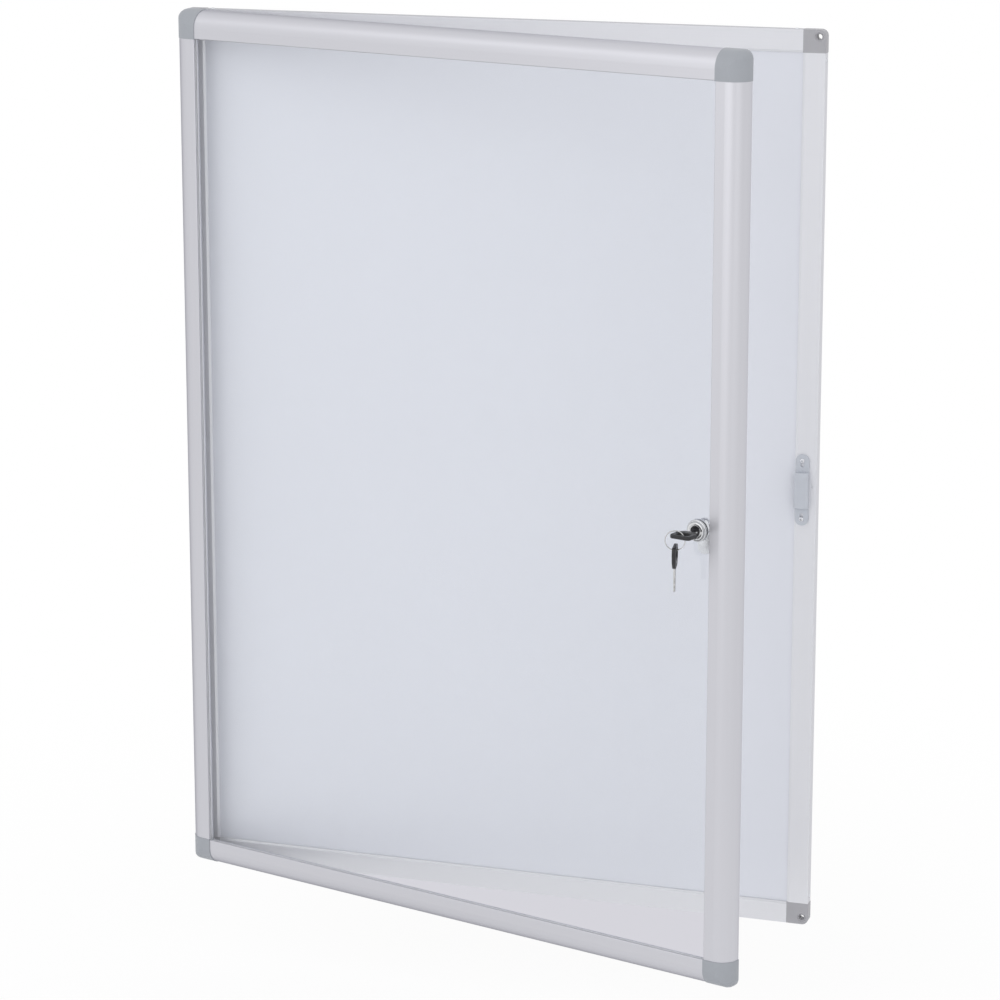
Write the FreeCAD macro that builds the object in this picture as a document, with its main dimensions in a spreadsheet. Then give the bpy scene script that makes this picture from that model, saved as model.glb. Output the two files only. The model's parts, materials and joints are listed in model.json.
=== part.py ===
"""Lockable wall notice board: extruded wall frame, hinged glazed door, cam lock and keys.

Millimetres. X runs from the hinge side to the lock side, Y points into the wall and Z points up.
The origin is the middle of the back, on the wall, in the middle of the four wall screws.
The door stands open by door_open degrees, and door_swing turns its parts there from shut.
"""
import FreeCAD
import Part
import math
import os

import Sketcher
from FreeCAD import Placement, Rotation, Vector

# Driving dimensions: alias, value, meaning. Angles are in degrees.
DRIVING_DIMENSIONS = [
    ("board_width", 720.0, "outer width over the rails"),
    ("board_height", 980.0, "outer height over the rails"),
    ("door_open", 16.0, "how far the door stands open"),
    ("rail_wall", 1.5, "wall of every extrusion"),
    ("base_depth", 12.0, "depth of the wall frame"),
    ("base_face", 24.0, "face width of the wall frame"),
    ("base_web", 16.0, "edge to the floor of the panel groove"),
    ("base_bevel", 2.5, "width of the inner bevel"),
    ("base_bevel_drop", 1.2, "drop of the inner bevel"),
    ("base_lip", 9.9, "wall side of the lip over the panel"),
    ("base_cap_radius", 7.0, "corner radius of a base cap"),
    ("base_cap_edge", 0.6, "chamfer round the face of a base cap"),
    ("base_cap_proud", 0.3, "how far base caps stand out sideways"),
    ("base_arm_length", 24.0, "plug arm of a base cap"),
    ("hinge_arm_inset", 5.0, "plug arm in the hinge stile to the outer edge"),
    ("wall_hole_inset", 7.2, "wall screw hole to both edges"),
    ("wall_hole_size", 6.0, "wall screw hole diameter"),
    ("wall_sink_size", 10.0, "countersink diameter"),
    ("wall_sink_angle", 90.0, "countersink angle"),
    ("panel_gap", 0.3, "side play of the panel in its groove"),
    ("board_thick", 7.5, "backing board"),
    ("sheet_thick", 0.8, "steel sheet"),
    ("door_gap", 0.5, "gap between the wall frame and the shut door"),
    ("door_depth", 21.5, "depth of the door frame"),
    ("door_face", 30.0, "face width of the door frame"),
    ("door_side", 2.5, "straight outer side of a door rail"),
    ("lip_round", 0.8, "rounding of the inner lip"),
    ("groove_floor", 21.5, "edge to the floor of the glazing groove"),
    ("groove_back", 14.0, "wall side of the glazing groove"),
    ("groove_front", 20.0, "front side of the glazing groove"),
    ("groove_ledge", 29.0, "edge to the rim of the ledge behind the pane"),
    ("door_cap_proud", 0.6, "how far door caps stand out"),
    ("door_cap_radius", 9.6, "corner radius of a door cap"),
    ("cap_skirt", 1.8, "wall of a door cap's open back"),
    ("cap_skirt_depth", 5.0, "depth of that open back"),
    ("cap_core", 5.5, "wall around a door cap's hollow core"),
    ("cap_core_start", 4.9, "where that core begins"),
    ("cap_core_round", 3.5, "corner radius of that core"),
    ("door_arm_length", 26.0, "plug arm of a door cap"),
    ("arm_play", 0.2, "play of a plug arm in its chamber"),
    ("hinge_inset", 4.0, "hinge axis to the outer edge"),
    ("hinge_rise", 12.25, "hinge axis to the wall"),
    ("bead_radius", 2.5, "bead of the door hinge"),
    ("socket_radius", 2.58, "bore of the hinge socket"),
    ("socket_wall", 1.4, "wall of the hinge socket"),
    ("socket_front", 104.0, "front lip of the socket, from the face"),
    ("socket_rear", 248.0, "rear lip of the socket, from the face"),
    ("neck_inner", 108.0, "inner side of the neck on the bead"),
    ("neck_outer", 142.0, "outer side of the neck on the bead"),
    ("neck_rise", 4.3, "where the neck leaves the outer skin"),
    ("chamber_side", 266.0, "where the stile's chamber leaves the socket, from the face"),
    ("chamber_foot", 2.0, "foot of that chamber to the outer edge"),
    ("cove_radius", 4.3, "cove of the hinge side door caps"),
    ("cove_angle", 133.0, "end of the cove, from the face"),
    ("nose_radius", 4.0, "relief of the hinge side base caps"),
    ("nose_angle", 242.0, "end of that relief, from the face"),
    ("peg_gap", 0.15, "hinge peg to the end of the door's bead"),
    ("peg_play", 0.05, "radial play of the hinge peg"),
    ("pane_thick", 3.0, "acrylic pane"),
    ("seal_wall", 1.5, "front and back leg of the seal"),
    ("seal_floor", 1.0, "floor of the seal"),
    ("seal_show", 0.4, "how far the seal shows past the lip"),
    ("seal_back_gap", 0.2, "back leg of the seal to the rim of the ledge"),
    ("lock_inset", 45.5, "lock axis to the outer edge"),
    ("lock_hole_play", 0.2, "radial play of the barrel in the pane"),
    ("barrel_radius", 8.0, "outside of the lock barrel"),
    ("barrel_play", 0.1, "radial play of the pieces on the barrel"),
    ("barrel_back", 4.8, "rear end of the barrel"),
    ("flange_radius", 9.3, "flange of the lock"),
    ("flange_front", 23.5, "front of the flange"),
    ("flange_edge", 1.0, "chamfer of the flange"),
    ("escutcheon_radius", 11.5, "ring of the lock in front of the pane"),
    ("escutcheon_thick", 2.5, "thickness of the lock ring"),
    ("washer_radius", 11.0, "washer behind the pane"),
    ("washer_thick", 0.8, "thickness of the washer"),
    ("nut_width", 21.0, "nut across its flats"),
    ("nut_thick", 3.0, "thickness of the nut"),
    ("plug_radius", 6.0, "lock plug"),
    ("plug_head_radius", 6.9, "head of the lock plug"),
    ("plug_head_thick", 1.1, "thickness of the plug head"),
    ("plug_front", 23.3, "face of the lock plug"),
    ("fit_play", 0.08, "radial play of turning fits"),
    ("seat_play", 0.1, "play of the plug along its axis"),
    ("keyway_play", 0.1, "play round the key in the plug"),
    ("keyway_side_play", 0.2, "play beside the key in the plug"),
    ("wafer_width", 10.6, "wafer across the key"),
    ("wafer_height", 5.0, "wafer along the plug's height"),
    ("wafer_thick", 1.0, "thickness of a wafer"),
    ("wafer_play", 0.1, "play of a wafer in its slot"),
    ("wafer_window_play", 0.15, "play of the key in a wafer"),
    ("cam_thick", 2.0, "cam plate"),
    ("cam_back", 2.6, "wall side of the cam"),
    ("cam_head_radius", 10.0, "round end of the cam on the lock"),
    ("cam_tip_radius", 7.5, "round tip of the cam"),
    ("cam_reach", 20.5, "lock axis to the tip centre"),
    ("tail_side", 7.0, "square tail of the plug"),
    ("cam_screw_head", 6.4, "head of the cam screw"),
    ("cam_screw_thick", 1.8, "thickness of that head"),
    ("cam_screw_size", 3.0, "shank of the cam screw"),
    ("cam_screw_length", 2.6, "length of that shank"),
    ("cam_hole_length", 2.8, "depth of the plug's hole for that shank"),
    ("strike_inset", 8.0, "strike box to the outer edge"),
    ("strike_width", 15.0, "strike box width"),
    ("strike_height", 78.0, "strike plate height"),
    ("strike_plate", 1.8, "strike plate thickness"),
    ("keeper_height", 39.0, "raised part of the strike box"),
    ("keeper_rise", 7.2, "front of the raised part"),
    ("keeper_mouth", 2.6, "lead-in of the raised part"),
    ("keeper_edge", 0.6, "chamfer of the raised part"),
    ("strike_pitch", 64.0, "distance between the strike screws"),
    ("slot_length", 8.5, "slotted screw hole length"),
    ("slot_width", 3.4, "slotted screw hole width"),
    ("mark_inset", 4.5, "drill mark beside the strike box to the outer edge"),
    ("mark_rise", 4.0, "drill mark above the middle"),
    ("key_thick", 1.8, "key blade thickness"),
    ("blade_width", 6.6, "key blade width"),
    ("blade_depth", 17.0, "part of the blade in the plug"),
    ("blade_tip_taper", 1.9, "taper of the blade's point"),
    ("blade_tip_length", 1.2, "length of the blade's point"),
    ("blade_tang", 5.0, "part of the blade in the bow"),
    ("cut_first", 2.6, "shoulder to the first cut"),
    ("cut_pitch", 2.8, "distance between two cuts"),
    ("cut_half", 0.9, "half the width of a cut"),
    ("cut_deep", 1.1, "depth of the deeper cuts"),
    ("cut_shallow", 0.7, "depth of the other cuts"),
    ("neck_length", 8.7, "bare neck of the key"),
    ("key_neck_width", 8.4, "neck width of the key"),
    ("bow_width", 24.0, "key bow width"),
    ("bow_length", 22.8, "key bow length"),
    ("bow_thick", 4.0, "key bow thickness"),
    ("bow_neck", 13.0, "key bow width at the neck"),
    ("bow_shoulder", 7.0, "neck to the full width of the bow"),
    ("bow_round", 4.0, "corner radius of the bow"),
    ("bow_edge", 0.8, "chamfer round the bow"),
    ("eye_width", 14.0, "ring eye across the bow"),
    ("eye_height", 9.0, "ring eye along the bow"),
    ("eye_rim", 4.0, "rim of the bow beyond the eye"),
    ("ring_bore", 9.6, "inside radius of the split ring"),
    ("ring_wire", 1.15, "wire of the split ring, outwards"),
    ("ring_coil", 1.8, "both turns of the wire, along the ring's axis"),
    ("ring_vee", 0.25, "depth of the groove between the turns"),
    ("ring_drop", 5.7, "ring centre below the bow's middle"),
    ("ring_aside", 9.0, "ring centre beside the lock axis"),
    ("ring_ahead", 1.0, "ring in front of the middle of the eye"),
    ("ring_twist", 25.0, "ring turned from the face of the door"),
    ("spare_gap", 0.45, "play of the spare key on the ring"),
    ("screw_size", 2.9, "shank of the small screws"),
    ("strike_screw_head", 5.2, "head of a strike screw"),
    ("strike_head_thick", 1.5, "thickness of that head"),
    ("strike_tip_gap", 0.3, "end of a strike screw to the panel groove"),
    ("cap_screw_head", 5.4, "head of a cap screw"),
    ("cap_head_thick", 0.9, "thickness of that head"),
    ("cap_head_taper", 0.5, "taper of that head"),
    ("cap_screw_length", 7.25, "shank of a cap screw"),
    ("cap_screw_step", 8.0, "cap screw beyond the end of a base cap"),
]

# How far the outline of a cut runs past the material.
PAST = 2.0
# Straight steps up the pillow shaped corner of a door cap.
CORNER_STEPS = 5
# Wafers of the lock, and cuts on each edge of a key.
WAFERS = 5
# How near a point must be to a face for an edge to count as lying on it.
CLOSE = 0.05
# Below this, a coordinate counts as zero and a cut as empty.
NOTHING = 1e-7
# Chord over radius from which an arc counts as a half circle.
HALF_CIRCLE = 1.9999

# Corners of the board, anticlockwise from the top left, seen from the front.
CORNERS = ["top_left", "bottom_left", "bottom_right", "top_right"]
SIDES_X = [-1, -1, 1, 1]
SIDES_Z = [1, -1, -1, 1]


class Size:
    """A number together with the formula that the document keeps for it."""

    def __init__(self, text, value):
        self.text = text
        self.value = float(value)

    def _with(self, other, sign, swapped=False):
        other = other if isinstance(other, Size) else Size(repr(float(other)), other)
        first, second = (other, self) if swapped else (self, other)
        values = {
            "+": first.value + second.value,
            "-": first.value - second.value,
            "*": first.value * second.value,
            "/": first.value / second.value if second.value else 0.0,
        }
        return Size("(%s %s %s)" % (first.text, sign, second.text), values[sign])

    def __add__(self, other):
        return self._with(other, "+")

    def __sub__(self, other):
        return self._with(other, "-")

    def __rsub__(self, other):
        return self._with(other, "-", True)

    def __mul__(self, other):
        return self._with(other, "*")

    def __rmul__(self, other):
        return self._with(other, "*", True)

    def __truediv__(self, other):
        return self._with(other, "/")

    def __neg__(self):
        return Size("(-1 * %s)" % self.text, -self.value)


def root(size):
    """The square root of a size."""
    return Size("sqrt(%s)" % size.text, math.sqrt(size.value))


def cosine(angle):
    """The cosine of an angle in degrees."""
    return Size("cos(%s * 1 deg)" % angle.text, math.cos(math.radians(angle.value)))


def sine(angle):
    """The sine of an angle in degrees."""
    return Size("sin(%s * 1 deg)" % angle.text, math.sin(math.radians(angle.value)))


def as_size(number):
    """A plain number as a size."""
    return number if isinstance(number, Size) else Size(repr(float(number)), number)


class Sizes:
    """The sheet's cells as attributes, each one a size."""

    def __init__(self, doc):
        sheet = doc.addObject("Spreadsheet::Sheet", "Sizes")
        for row, (alias, value, meaning) in enumerate(DRIVING_DIMENSIONS, start=1):
            sheet.set("A%d" % row, meaning)
            sheet.set("B%d" % row, repr(value))
            sheet.setAlias("B%d" % row, alias)
        doc.recompute()
        for alias, _, _ in DRIVING_DIMENSIONS:
            setattr(self, alias, Size("Sizes.%s" % alias, getattr(sheet, alias)))


class Outline:
    """A closed outline of lines and arcs, drawn point by point."""

    def __init__(self, across, up):
        self.points = [(as_size(across), as_size(up))]
        self.arcs = []

    def line(self, across, up):
        """Goes straight to a point."""
        self.points.append((as_size(across), as_size(up)))
        self.arcs.append(None)
        return self

    def arc(self, across, up, radius, left=True, wide=False):
        """Goes to a point along an arc, which bends left or right and may pass a half turn."""
        self.points.append((as_size(across), as_size(up)))
        self.arcs.append((as_size(radius), left, wide))
        return self

    def close(self):
        """Goes straight back to the first point, unless the last step has reached it."""
        last, first = self.points[-1], self.points[0]
        apart = math.hypot(last[0].value - first[0].value, last[1].value - first[1].value)
        if apart > NOTHING:
            self.arcs.append(None)
        else:
            self.points.pop()
        return self


def bound(sketch, constraints, formulas):
    """Adds constraints to a sketch and binds their values to the sheet."""
    first = sketch.ConstraintCount
    sketch.addConstraint(constraints)
    for offset, formula in formulas.items():
        sketch.setExpression("Constraints[%d]" % (first + offset), formula)


def tie_point(constraints, formulas, geometry, end, kind, size):
    """Ties one coordinate of a point of a sketch."""
    if abs(size.value) < NOTHING:
        axis = {"DistanceX": -2, "DistanceY": -1}[kind]
        constraints.append(Sketcher.Constraint("PointOnObject", geometry, end, axis))
    else:
        formulas[len(constraints)] = size.text
        constraints.append(Sketcher.Constraint(kind, -1, 1, geometry, end, size.value))


def place_point(constraints, formulas, geometry, end, across, up):
    """Ties one point of a sketch to its two coordinates."""
    tie_point(constraints, formulas, geometry, end, "DistanceX", across)
    tie_point(constraints, formulas, geometry, end, "DistanceY", up)


def tie_half_turn(constraints, formulas, geometry, here, there):
    """Ties the centre of a half circle along the side where its ends leave it free."""
    level = abs(here[1].value - there[1].value) < abs(here[0].value - there[0].value)
    axis, kind = (1, "DistanceY") if level else (0, "DistanceX")
    middle = (here[axis] + there[axis]) / 2
    tie_point(constraints, formulas, geometry, 3, kind, middle)


def draw_outline(sketch, outline):
    """Draws a closed outline with every corner and radius bound to the sheet."""
    outline.close()
    first = sketch.GeometryCount
    points = [Vector(across.value, up.value, 0) for across, up in outline.points]
    pieces, starts, ends = [], [], []
    for index, arc in enumerate(outline.arcs):
        here, there = points[index], points[(index + 1) % len(points)]
        if arc is None:
            pieces.append(Part.LineSegment(here, there))
            starts.append(1)
            ends.append(2)
            continue
        radius, left, wide = arc[0].value, arc[1], arc[2]
        chord = there - here
        sideways = Vector(-chord.y, chord.x, 0).normalize()
        height = math.sqrt(max(radius ** 2 - chord.Length ** 2 / 4, 0.0))
        side = 1 if left != wide else -1
        centre = (here + there) * 0.5 + sideways * height * side
        angles = [math.atan2(p.y - centre.y, p.x - centre.x) for p in (here, there)]
        if not left:
            angles.reverse()
        pieces.append(Part.ArcOfCircle(Part.Circle(centre, Vector(0, 0, 1), radius), *angles))
        starts.append(1 if left else 2)
        ends.append(2 if left else 1)
    sketch.addGeometry(pieces, False)
    constraints, formulas = [], {}
    count = len(pieces)
    for index in range(count):
        after = (index + 1) % count
        link = (first + index, ends[index], first + after, starts[after])
        constraints.append(Sketcher.Constraint("Coincident", *link))
    for index in range(count):
        across, up = outline.points[index]
        place_point(constraints, formulas, first + index, starts[index], across, up)
        if outline.arcs[index] is None:
            continue
        radius = outline.arcs[index][0]
        there = outline.points[(index + 1) % count]
        chord = math.hypot(there[0].value - across.value, there[1].value - up.value)
        if chord > HALF_CIRCLE * radius.value:
            tie_half_turn(constraints, formulas, first + index, (across, up), there)
        else:
            formulas[len(constraints)] = radius.text
            constraints.append(Sketcher.Constraint("Radius", first + index, radius.value))
    bound(sketch, constraints, formulas)


def draw_circle(sketch, across, up, radius):
    """Draws a circle with its centre and radius bound to the sheet."""
    across, up, radius = as_size(across), as_size(up), as_size(radius)
    centre = Vector(across.value, up.value, 0)
    circle = Part.Circle(centre, Vector(0, 0, 1), radius.value)
    index = sketch.addGeometry(circle, False)
    constraints, formulas = [], {}
    place_point(constraints, formulas, index, 3, across, up)
    formulas[len(constraints)] = radius.text
    constraints.append(Sketcher.Constraint("Radius", index, radius.value))
    bound(sketch, constraints, formulas)


def box_outline(left, low, right, high):
    """A rectangle from its four limits."""
    return Outline(left, low).line(right, low).line(right, high).line(left, high)


def slot_outline(across, up, length, width):
    """An upright slot with round ends, from its centre."""
    reach = (length - width) / 2
    half = width / 2
    shape = Outline(across - half, up + reach).line(across - half, up - reach)
    shape.arc(across + half, up - reach, half)
    shape.line(across + half, up + reach)
    shape.arc(across - half, up + reach, half)
    return shape


class Piece:
    """One physical piece: a body, its features and its place on the board."""

    def __init__(self, doc, name):
        self.doc = doc
        self.name = name
        self.body = doc.addObject("PartDesign::Body", name)
        self.body.Label = name
        self.count = 0

    def _next(self, kind):
        self.count += 1
        return "%s_%s_%d" % (self.name, kind, self.count)

    def sketch(self, plane, outlines=(), circles=(), rise=0):
        """A sketch on an origin plane of the body, raised along the plane's normal."""
        support = [f for f in self.body.Origin.OriginFeatures if f.Role == plane + "_Plane"][0]
        sketch = self.body.newObject("Sketcher::SketchObject", self._next("sketch"))
        sketch.AttachmentSupport = [(support, "")]
        sketch.MapMode = "FlatFace"
        rise = as_size(rise)
        if abs(rise.value) > NOTHING:
            sketch.setExpression("AttachmentOffset.Base.z", rise.text)
        for outline in outlines:
            draw_outline(sketch, outline)
        for circle in circles:
            draw_circle(sketch, *circle)
        return sketch

    def feature(self, kind, sketch):
        """A new feature of the body, made from a sketch."""
        made = self.body.newObject("PartDesign::" + kind, self._next(kind.lower()))
        made.Profile = sketch
        return made

    def _prism(self, kind, sketch, length, reverse, middle):
        feature = self.feature(kind, sketch)
        feature.Reversed = reverse
        if middle:
            feature.SideType = "Symmetric"
        if length is None:
            feature.Type = "ThroughAll"
        else:
            feature.setExpression("Length", as_size(length).text)
        return feature

    def pad(self, sketch, length, reverse=False, middle=False):
        """Adds the sketch's prism."""
        self._prism("Pad", sketch, length, reverse, middle)
        self.doc.recompute()

    def pocket(self, sketch, length=None, reverse=False, middle=False):
        """Cuts the sketch's prism and makes sure that it took something away."""
        before = self.body.Shape.Volume
        feature = self._prism("Pocket", sketch, length, reverse, middle)
        self.doc.recompute()
        if self.body.Shape.Volume > before - NOTHING:
            raise RuntimeError("%s cuts nothing" % feature.Name)

    def turn(self, outlines):
        """Revolves outlines on the XZ plane about the body's Z axis."""
        feature = self.feature("Revolution", self.sketch("XZ", outlines))
        axis = [f for f in self.body.Origin.OriginFeatures if f.Role == "Z_Axis"][0]
        feature.ReferenceAxis = (axis, [""])
        feature.Angle = 360
        self.doc.recompute()

    def round_corner(self, outline, inset):
        """Turns an outline a quarter turn about an upright axis near the corner and cuts it away."""
        sketch = self.sketch("XZ", [outline])
        sketch.setExpression("AttachmentOffset.Base.x", inset.text)
        sketch.setExpression("AttachmentOffset.Base.z", (-inset).text)
        before = self.body.Shape.Volume
        feature = self.feature("Groove", sketch)
        feature.ReferenceAxis = (sketch, ["V_Axis"])
        feature.Angle = 90
        self.doc.recompute()
        if self.body.Shape.Volume > before - NOTHING:
            raise RuntimeError("%s rounds no corner" % feature.Name)

    def chamfer(self, reach, wanted):
        """Chamfers the edges that a test of their middle point and length picks."""
        picked = []
        for index, edge in enumerate(self.body.Shape.Edges, start=1):
            middle = edge.valueAt((edge.FirstParameter + edge.LastParameter) / 2)
            if wanted(middle, edge):
                picked.append("Edge%d" % index)
        if not picked:
            raise RuntimeError("%s has no edge to chamfer" % self.name)
        tip = self.body.Tip
        feature = self.body.newObject("PartDesign::Chamfer", self._next("chamfer"))
        feature.Base = (tip, picked)
        feature.setExpression("Size", reach.text)
        self.doc.recompute()

    def put(self, placement):
        """Moves the finished piece to its place."""
        self.body.Placement = placement


def corner_turn(index):
    """Turns the top left corner's axes to another corner, about the viewing direction."""
    return Rotation(Vector(0, 1, 0), -90 * index)


def corner_point(size, index, depth):
    """A corner of the board's outline, at a depth in front of the wall."""
    half_width, half_height = size.board_width.value / 2, size.board_height.value / 2
    return Vector(SIDES_X[index] * half_width, -depth, SIDES_Z[index] * half_height)


def rail_place(size, index, depth, start):
    """Place of a rail: x inward, y to the front, z along the rail from its first cap."""
    turn = corner_turn(index).multiply(Rotation(Vector(1, 0, 0), 180))
    along = turn.multVec(Vector(0, 0, start))
    return Placement(corner_point(size, index, depth) + along, turn)


def cap_place(size, index, depth):
    """Place of a cap: x along the rail of its side, y inward from it, z to the front."""
    down, right, front = Vector(0, 0, -1), Vector(1, 0, 0), Vector(0, -1, 0)
    first = Rotation(down, right, front, "ZXY")
    return Placement(corner_point(size, index, depth), corner_turn(index).multiply(first))


def front_place(across, depth, up):
    """Place of a piece drawn as seen from the front: x right, y up, z to the viewer."""
    return Placement(Vector(across, -depth, up), Rotation(Vector(1, 0, 0), 90))


def door_swing(size):
    """Turns a piece of the shut door about the hinge to where the door stands."""
    axis = Vector(-size.board_width.value / 2 + size.hinge_inset.value, -size.hinge_rise.value, 0)
    swing = Rotation(Vector(0, 0, 1), -size.door_open.value)
    return Placement(Vector(0, 0, 0), swing, axis)


def door_back(size):
    """Distance of the shut door's back plane from the wall."""
    return size.base_depth + size.door_gap


def skin_edge(size, radius, rise):
    """Inward position of the door rail's rounded skin, outside or inside, at a rise."""
    centre = size.door_depth - size.door_side
    above = rise - size.door_side
    return centre - root(radius * radius - above * above)


def door_chamber(size, play):
    """Section of the door rail's chamber, made smaller by a play."""
    centre = size.door_depth - size.door_side
    radius = centre - size.rail_wall - play
    low = size.groove_back + play
    right = size.groove_floor - size.rail_wall - play
    shape = Outline(skin_edge(size, radius, low), low).line(right, low)
    shape.line(right, size.groove_front - play)
    shape.line(centre, size.groove_front - play)
    shape.arc(skin_edge(size, radius, low), low, radius)
    return shape


def door_rail_outline(size, hinged):
    """Section of a door rail: rounded skin, glazing groove and an open back."""
    centre = size.door_depth - size.door_side
    inner = centre - size.rail_wall
    front, face = size.door_depth, size.door_face
    ledge = size.groove_back - size.rail_wall
    if hinged:
        rise = size.neck_rise
        axis = size.hinge_rise - door_back(size)
        bead_x = {}
        bead_z = {}
        for side, angle in (("outer", size.neck_outer), ("inner", size.neck_inner)):
            bead_x[side] = size.hinge_inset + size.bead_radius * cosine(angle)
            bead_z[side] = axis + size.bead_radius * sine(angle)
        shape = Outline(bead_x["outer"], bead_z["outer"])
        shape.line(skin_edge(size, centre, rise), rise)
    else:
        shape = Outline(0, 0).line(0, size.door_side)
    shape.arc(centre, front, centre, left=False)
    shape.line(face - size.lip_round, front)
    shape.arc(face, front - size.lip_round, size.lip_round, left=False)
    shape.line(face, size.groove_front).line(size.groove_floor, size.groove_front)
    shape.line(size.groove_floor, size.groove_back).line(size.groove_ledge, size.groove_back)
    shape.line(size.groove_ledge, ledge).line(skin_edge(size, inner, ledge), ledge)
    if hinged:
        shape.arc(skin_edge(size, inner, rise), rise, inner)
        shape.line(bead_x["inner"], bead_z["inner"])
        shape.arc(bead_x["outer"], bead_z["outer"], size.bead_radius, left=False, wide=True)
    else:
        shape.arc(size.rail_wall, size.door_side, inner).line(size.rail_wall, 0)
    return shape


def base_front(size, shape):
    """Adds the face, bevel and panel groove that every wall frame rail has."""
    face, depth = size.base_face, size.base_depth
    shape.line(face - size.base_bevel, depth).line(face, depth - size.base_bevel_drop)
    shape.line(face, size.base_lip).line(size.base_web, size.base_lip)
    shape.line(size.base_web, size.rail_wall).line(face, size.rail_wall).line(face, 0)
    return shape


def plain_base_outlines(size):
    """Section and chamber of a plain wall frame rail."""
    wall = size.rail_wall
    shape = base_front(size, Outline(0, 0).line(0, size.base_depth))
    chamber = box_outline(wall, wall, size.base_web - wall, size.base_depth - wall)
    return [shape, chamber]


def on_hinge(size, radius, angle):
    """A point around the hinge axis in a wall frame section."""
    across = size.hinge_inset + radius * cosine(angle)
    return across, size.hinge_rise + radius * sine(angle)


def hinge_base_outlines(size):
    """Section and chamber of the hinge stile: the socket opens to the front and outside."""
    wall = size.rail_wall
    bore = size.socket_radius
    skin = size.socket_radius + size.socket_wall
    dip = size.hinge_rise - size.base_depth
    shape = Outline(0, 0)
    shape.line(*on_hinge(size, skin, size.socket_rear))
    shape.line(*on_hinge(size, bore, size.socket_rear))
    shape.arc(*on_hinge(size, bore, size.socket_front), bore, wide=True)
    shape.line(*on_hinge(size, skin, size.socket_front))
    shape.arc(size.hinge_inset + root(skin * skin - dip * dip), size.base_depth, skin, left=False)
    base_front(size, shape)
    chamber_top = size.base_depth - wall
    top_dip = size.hinge_rise - chamber_top
    chamber = Outline(size.hinge_inset + root(skin * skin - top_dip * top_dip), chamber_top)
    chamber.arc(*on_hinge(size, skin, size.chamber_side), skin, left=False)
    chamber.line(size.chamber_foot, wall).line(size.base_web - wall, wall)
    chamber.line(size.base_web - wall, chamber_top)
    return [shape, chamber]


def make_rails(doc, size):
    """The eight extrusions of the wall frame and the door."""
    pieces = {}
    names = ["hinge_stile", "bottom_rail", "lock_stile", "top_rail"]
    spans = [size.board_height, size.board_width, size.board_height, size.board_width]
    cap = size.door_face + size.door_cap_proud
    for index, (name, span) in enumerate(zip(names, spans)):
        base = Piece(doc, "base_" + name)
        outlines = hinge_base_outlines(size) if index == 0 else plain_base_outlines(size)
        base.pad(base.sketch("XY", outlines), span - 2 * size.base_face)
        base.put(rail_place(size, index, 0, size.base_face.value))
        pieces[base.name] = base
        door = Piece(doc, "door_" + name)
        outlines = [door_rail_outline(size, index == 0), door_chamber(size, as_size(0))]
        door.pad(door.sketch("XY", outlines), span - 2 * cap)
        door.put(door_swing(size) * rail_place(size, index, door_back(size).value, cap.value))
    drill_base_rails(size, pieces)


def cap_screw_spots(size):
    """Rails with cap screws: name and distance of each screw from the rail's first end."""
    step = size.cap_screw_step
    end_x = size.board_width - 2 * size.base_face - step
    end_z = size.board_height - 2 * size.base_face - step
    return [
        ("base_bottom_rail", 1, [step, end_x]),
        ("base_lock_stile", 2, [step, end_z]),
        ("base_top_rail", 3, [step, end_x]),
    ]


def drill_base_rails(size, pieces):
    """Holes for the cap screws and the strike screws, and the drill mark on the lock stile."""
    radius = size.screw_size / 2
    for name, _, spots in cap_screw_spots(size):
        rail = pieces[name]
        circles = [(size.base_depth / 2, spot, radius) for spot in spots]
        rail.pocket(rail.sketch("YZ", circles=circles), 3 * size.rail_wall, reverse=True)
    stile = pieces["base_lock_stile"]
    centre = size.board_height / 2 - size.base_face
    across = size.strike_inset + size.strike_width / 2
    half = size.strike_pitch / 2
    screws = [(across, centre + half, radius), (across, centre - half, radius)]
    mark = [(size.mark_inset, centre + size.mark_rise, radius)]
    screw_depth = size.base_depth - size.base_lip
    for circles, depth in ((screws, screw_depth), (mark, size.rail_wall / 2)):
        sketch = stile.sketch("XZ", circles=circles, rise=-size.base_depth)
        stile.pocket(sketch, depth, reverse=True)


def base_arm(size, hinged):
    """Section of a base cap's plug arm: inward position, then height from the wall."""
    wall, play = size.rail_wall, size.arm_play
    low, high = wall + play, size.base_depth - wall
    if hinged:
        low, high = size.hinge_arm_inset, size.hinge_rise - size.socket_radius - size.socket_wall
    return box_outline(low, wall + play, size.base_web - wall - play, high - play)


def drill_wall_hole(cap, size):
    """The countersunk hole of the wall screw."""
    spot = (size.wall_hole_inset, size.wall_hole_inset, size.wall_hole_size / 2)
    drill = cap.feature("Hole", cap.sketch("XY", circles=[spot], rise=size.base_depth))
    cap.doc.recompute()
    drill.DepthType = "ThroughAll"
    drill.setExpression("Diameter", size.wall_hole_size.text)
    drill.HoleCutType = "Countersink"
    drill.HoleCutCustomValues = True
    drill.setExpression("HoleCutDiameter", size.wall_sink_size.text)
    drill.setExpression("HoleCutCountersinkAngle", size.wall_sink_angle.text)
    cap.doc.recompute()


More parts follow.
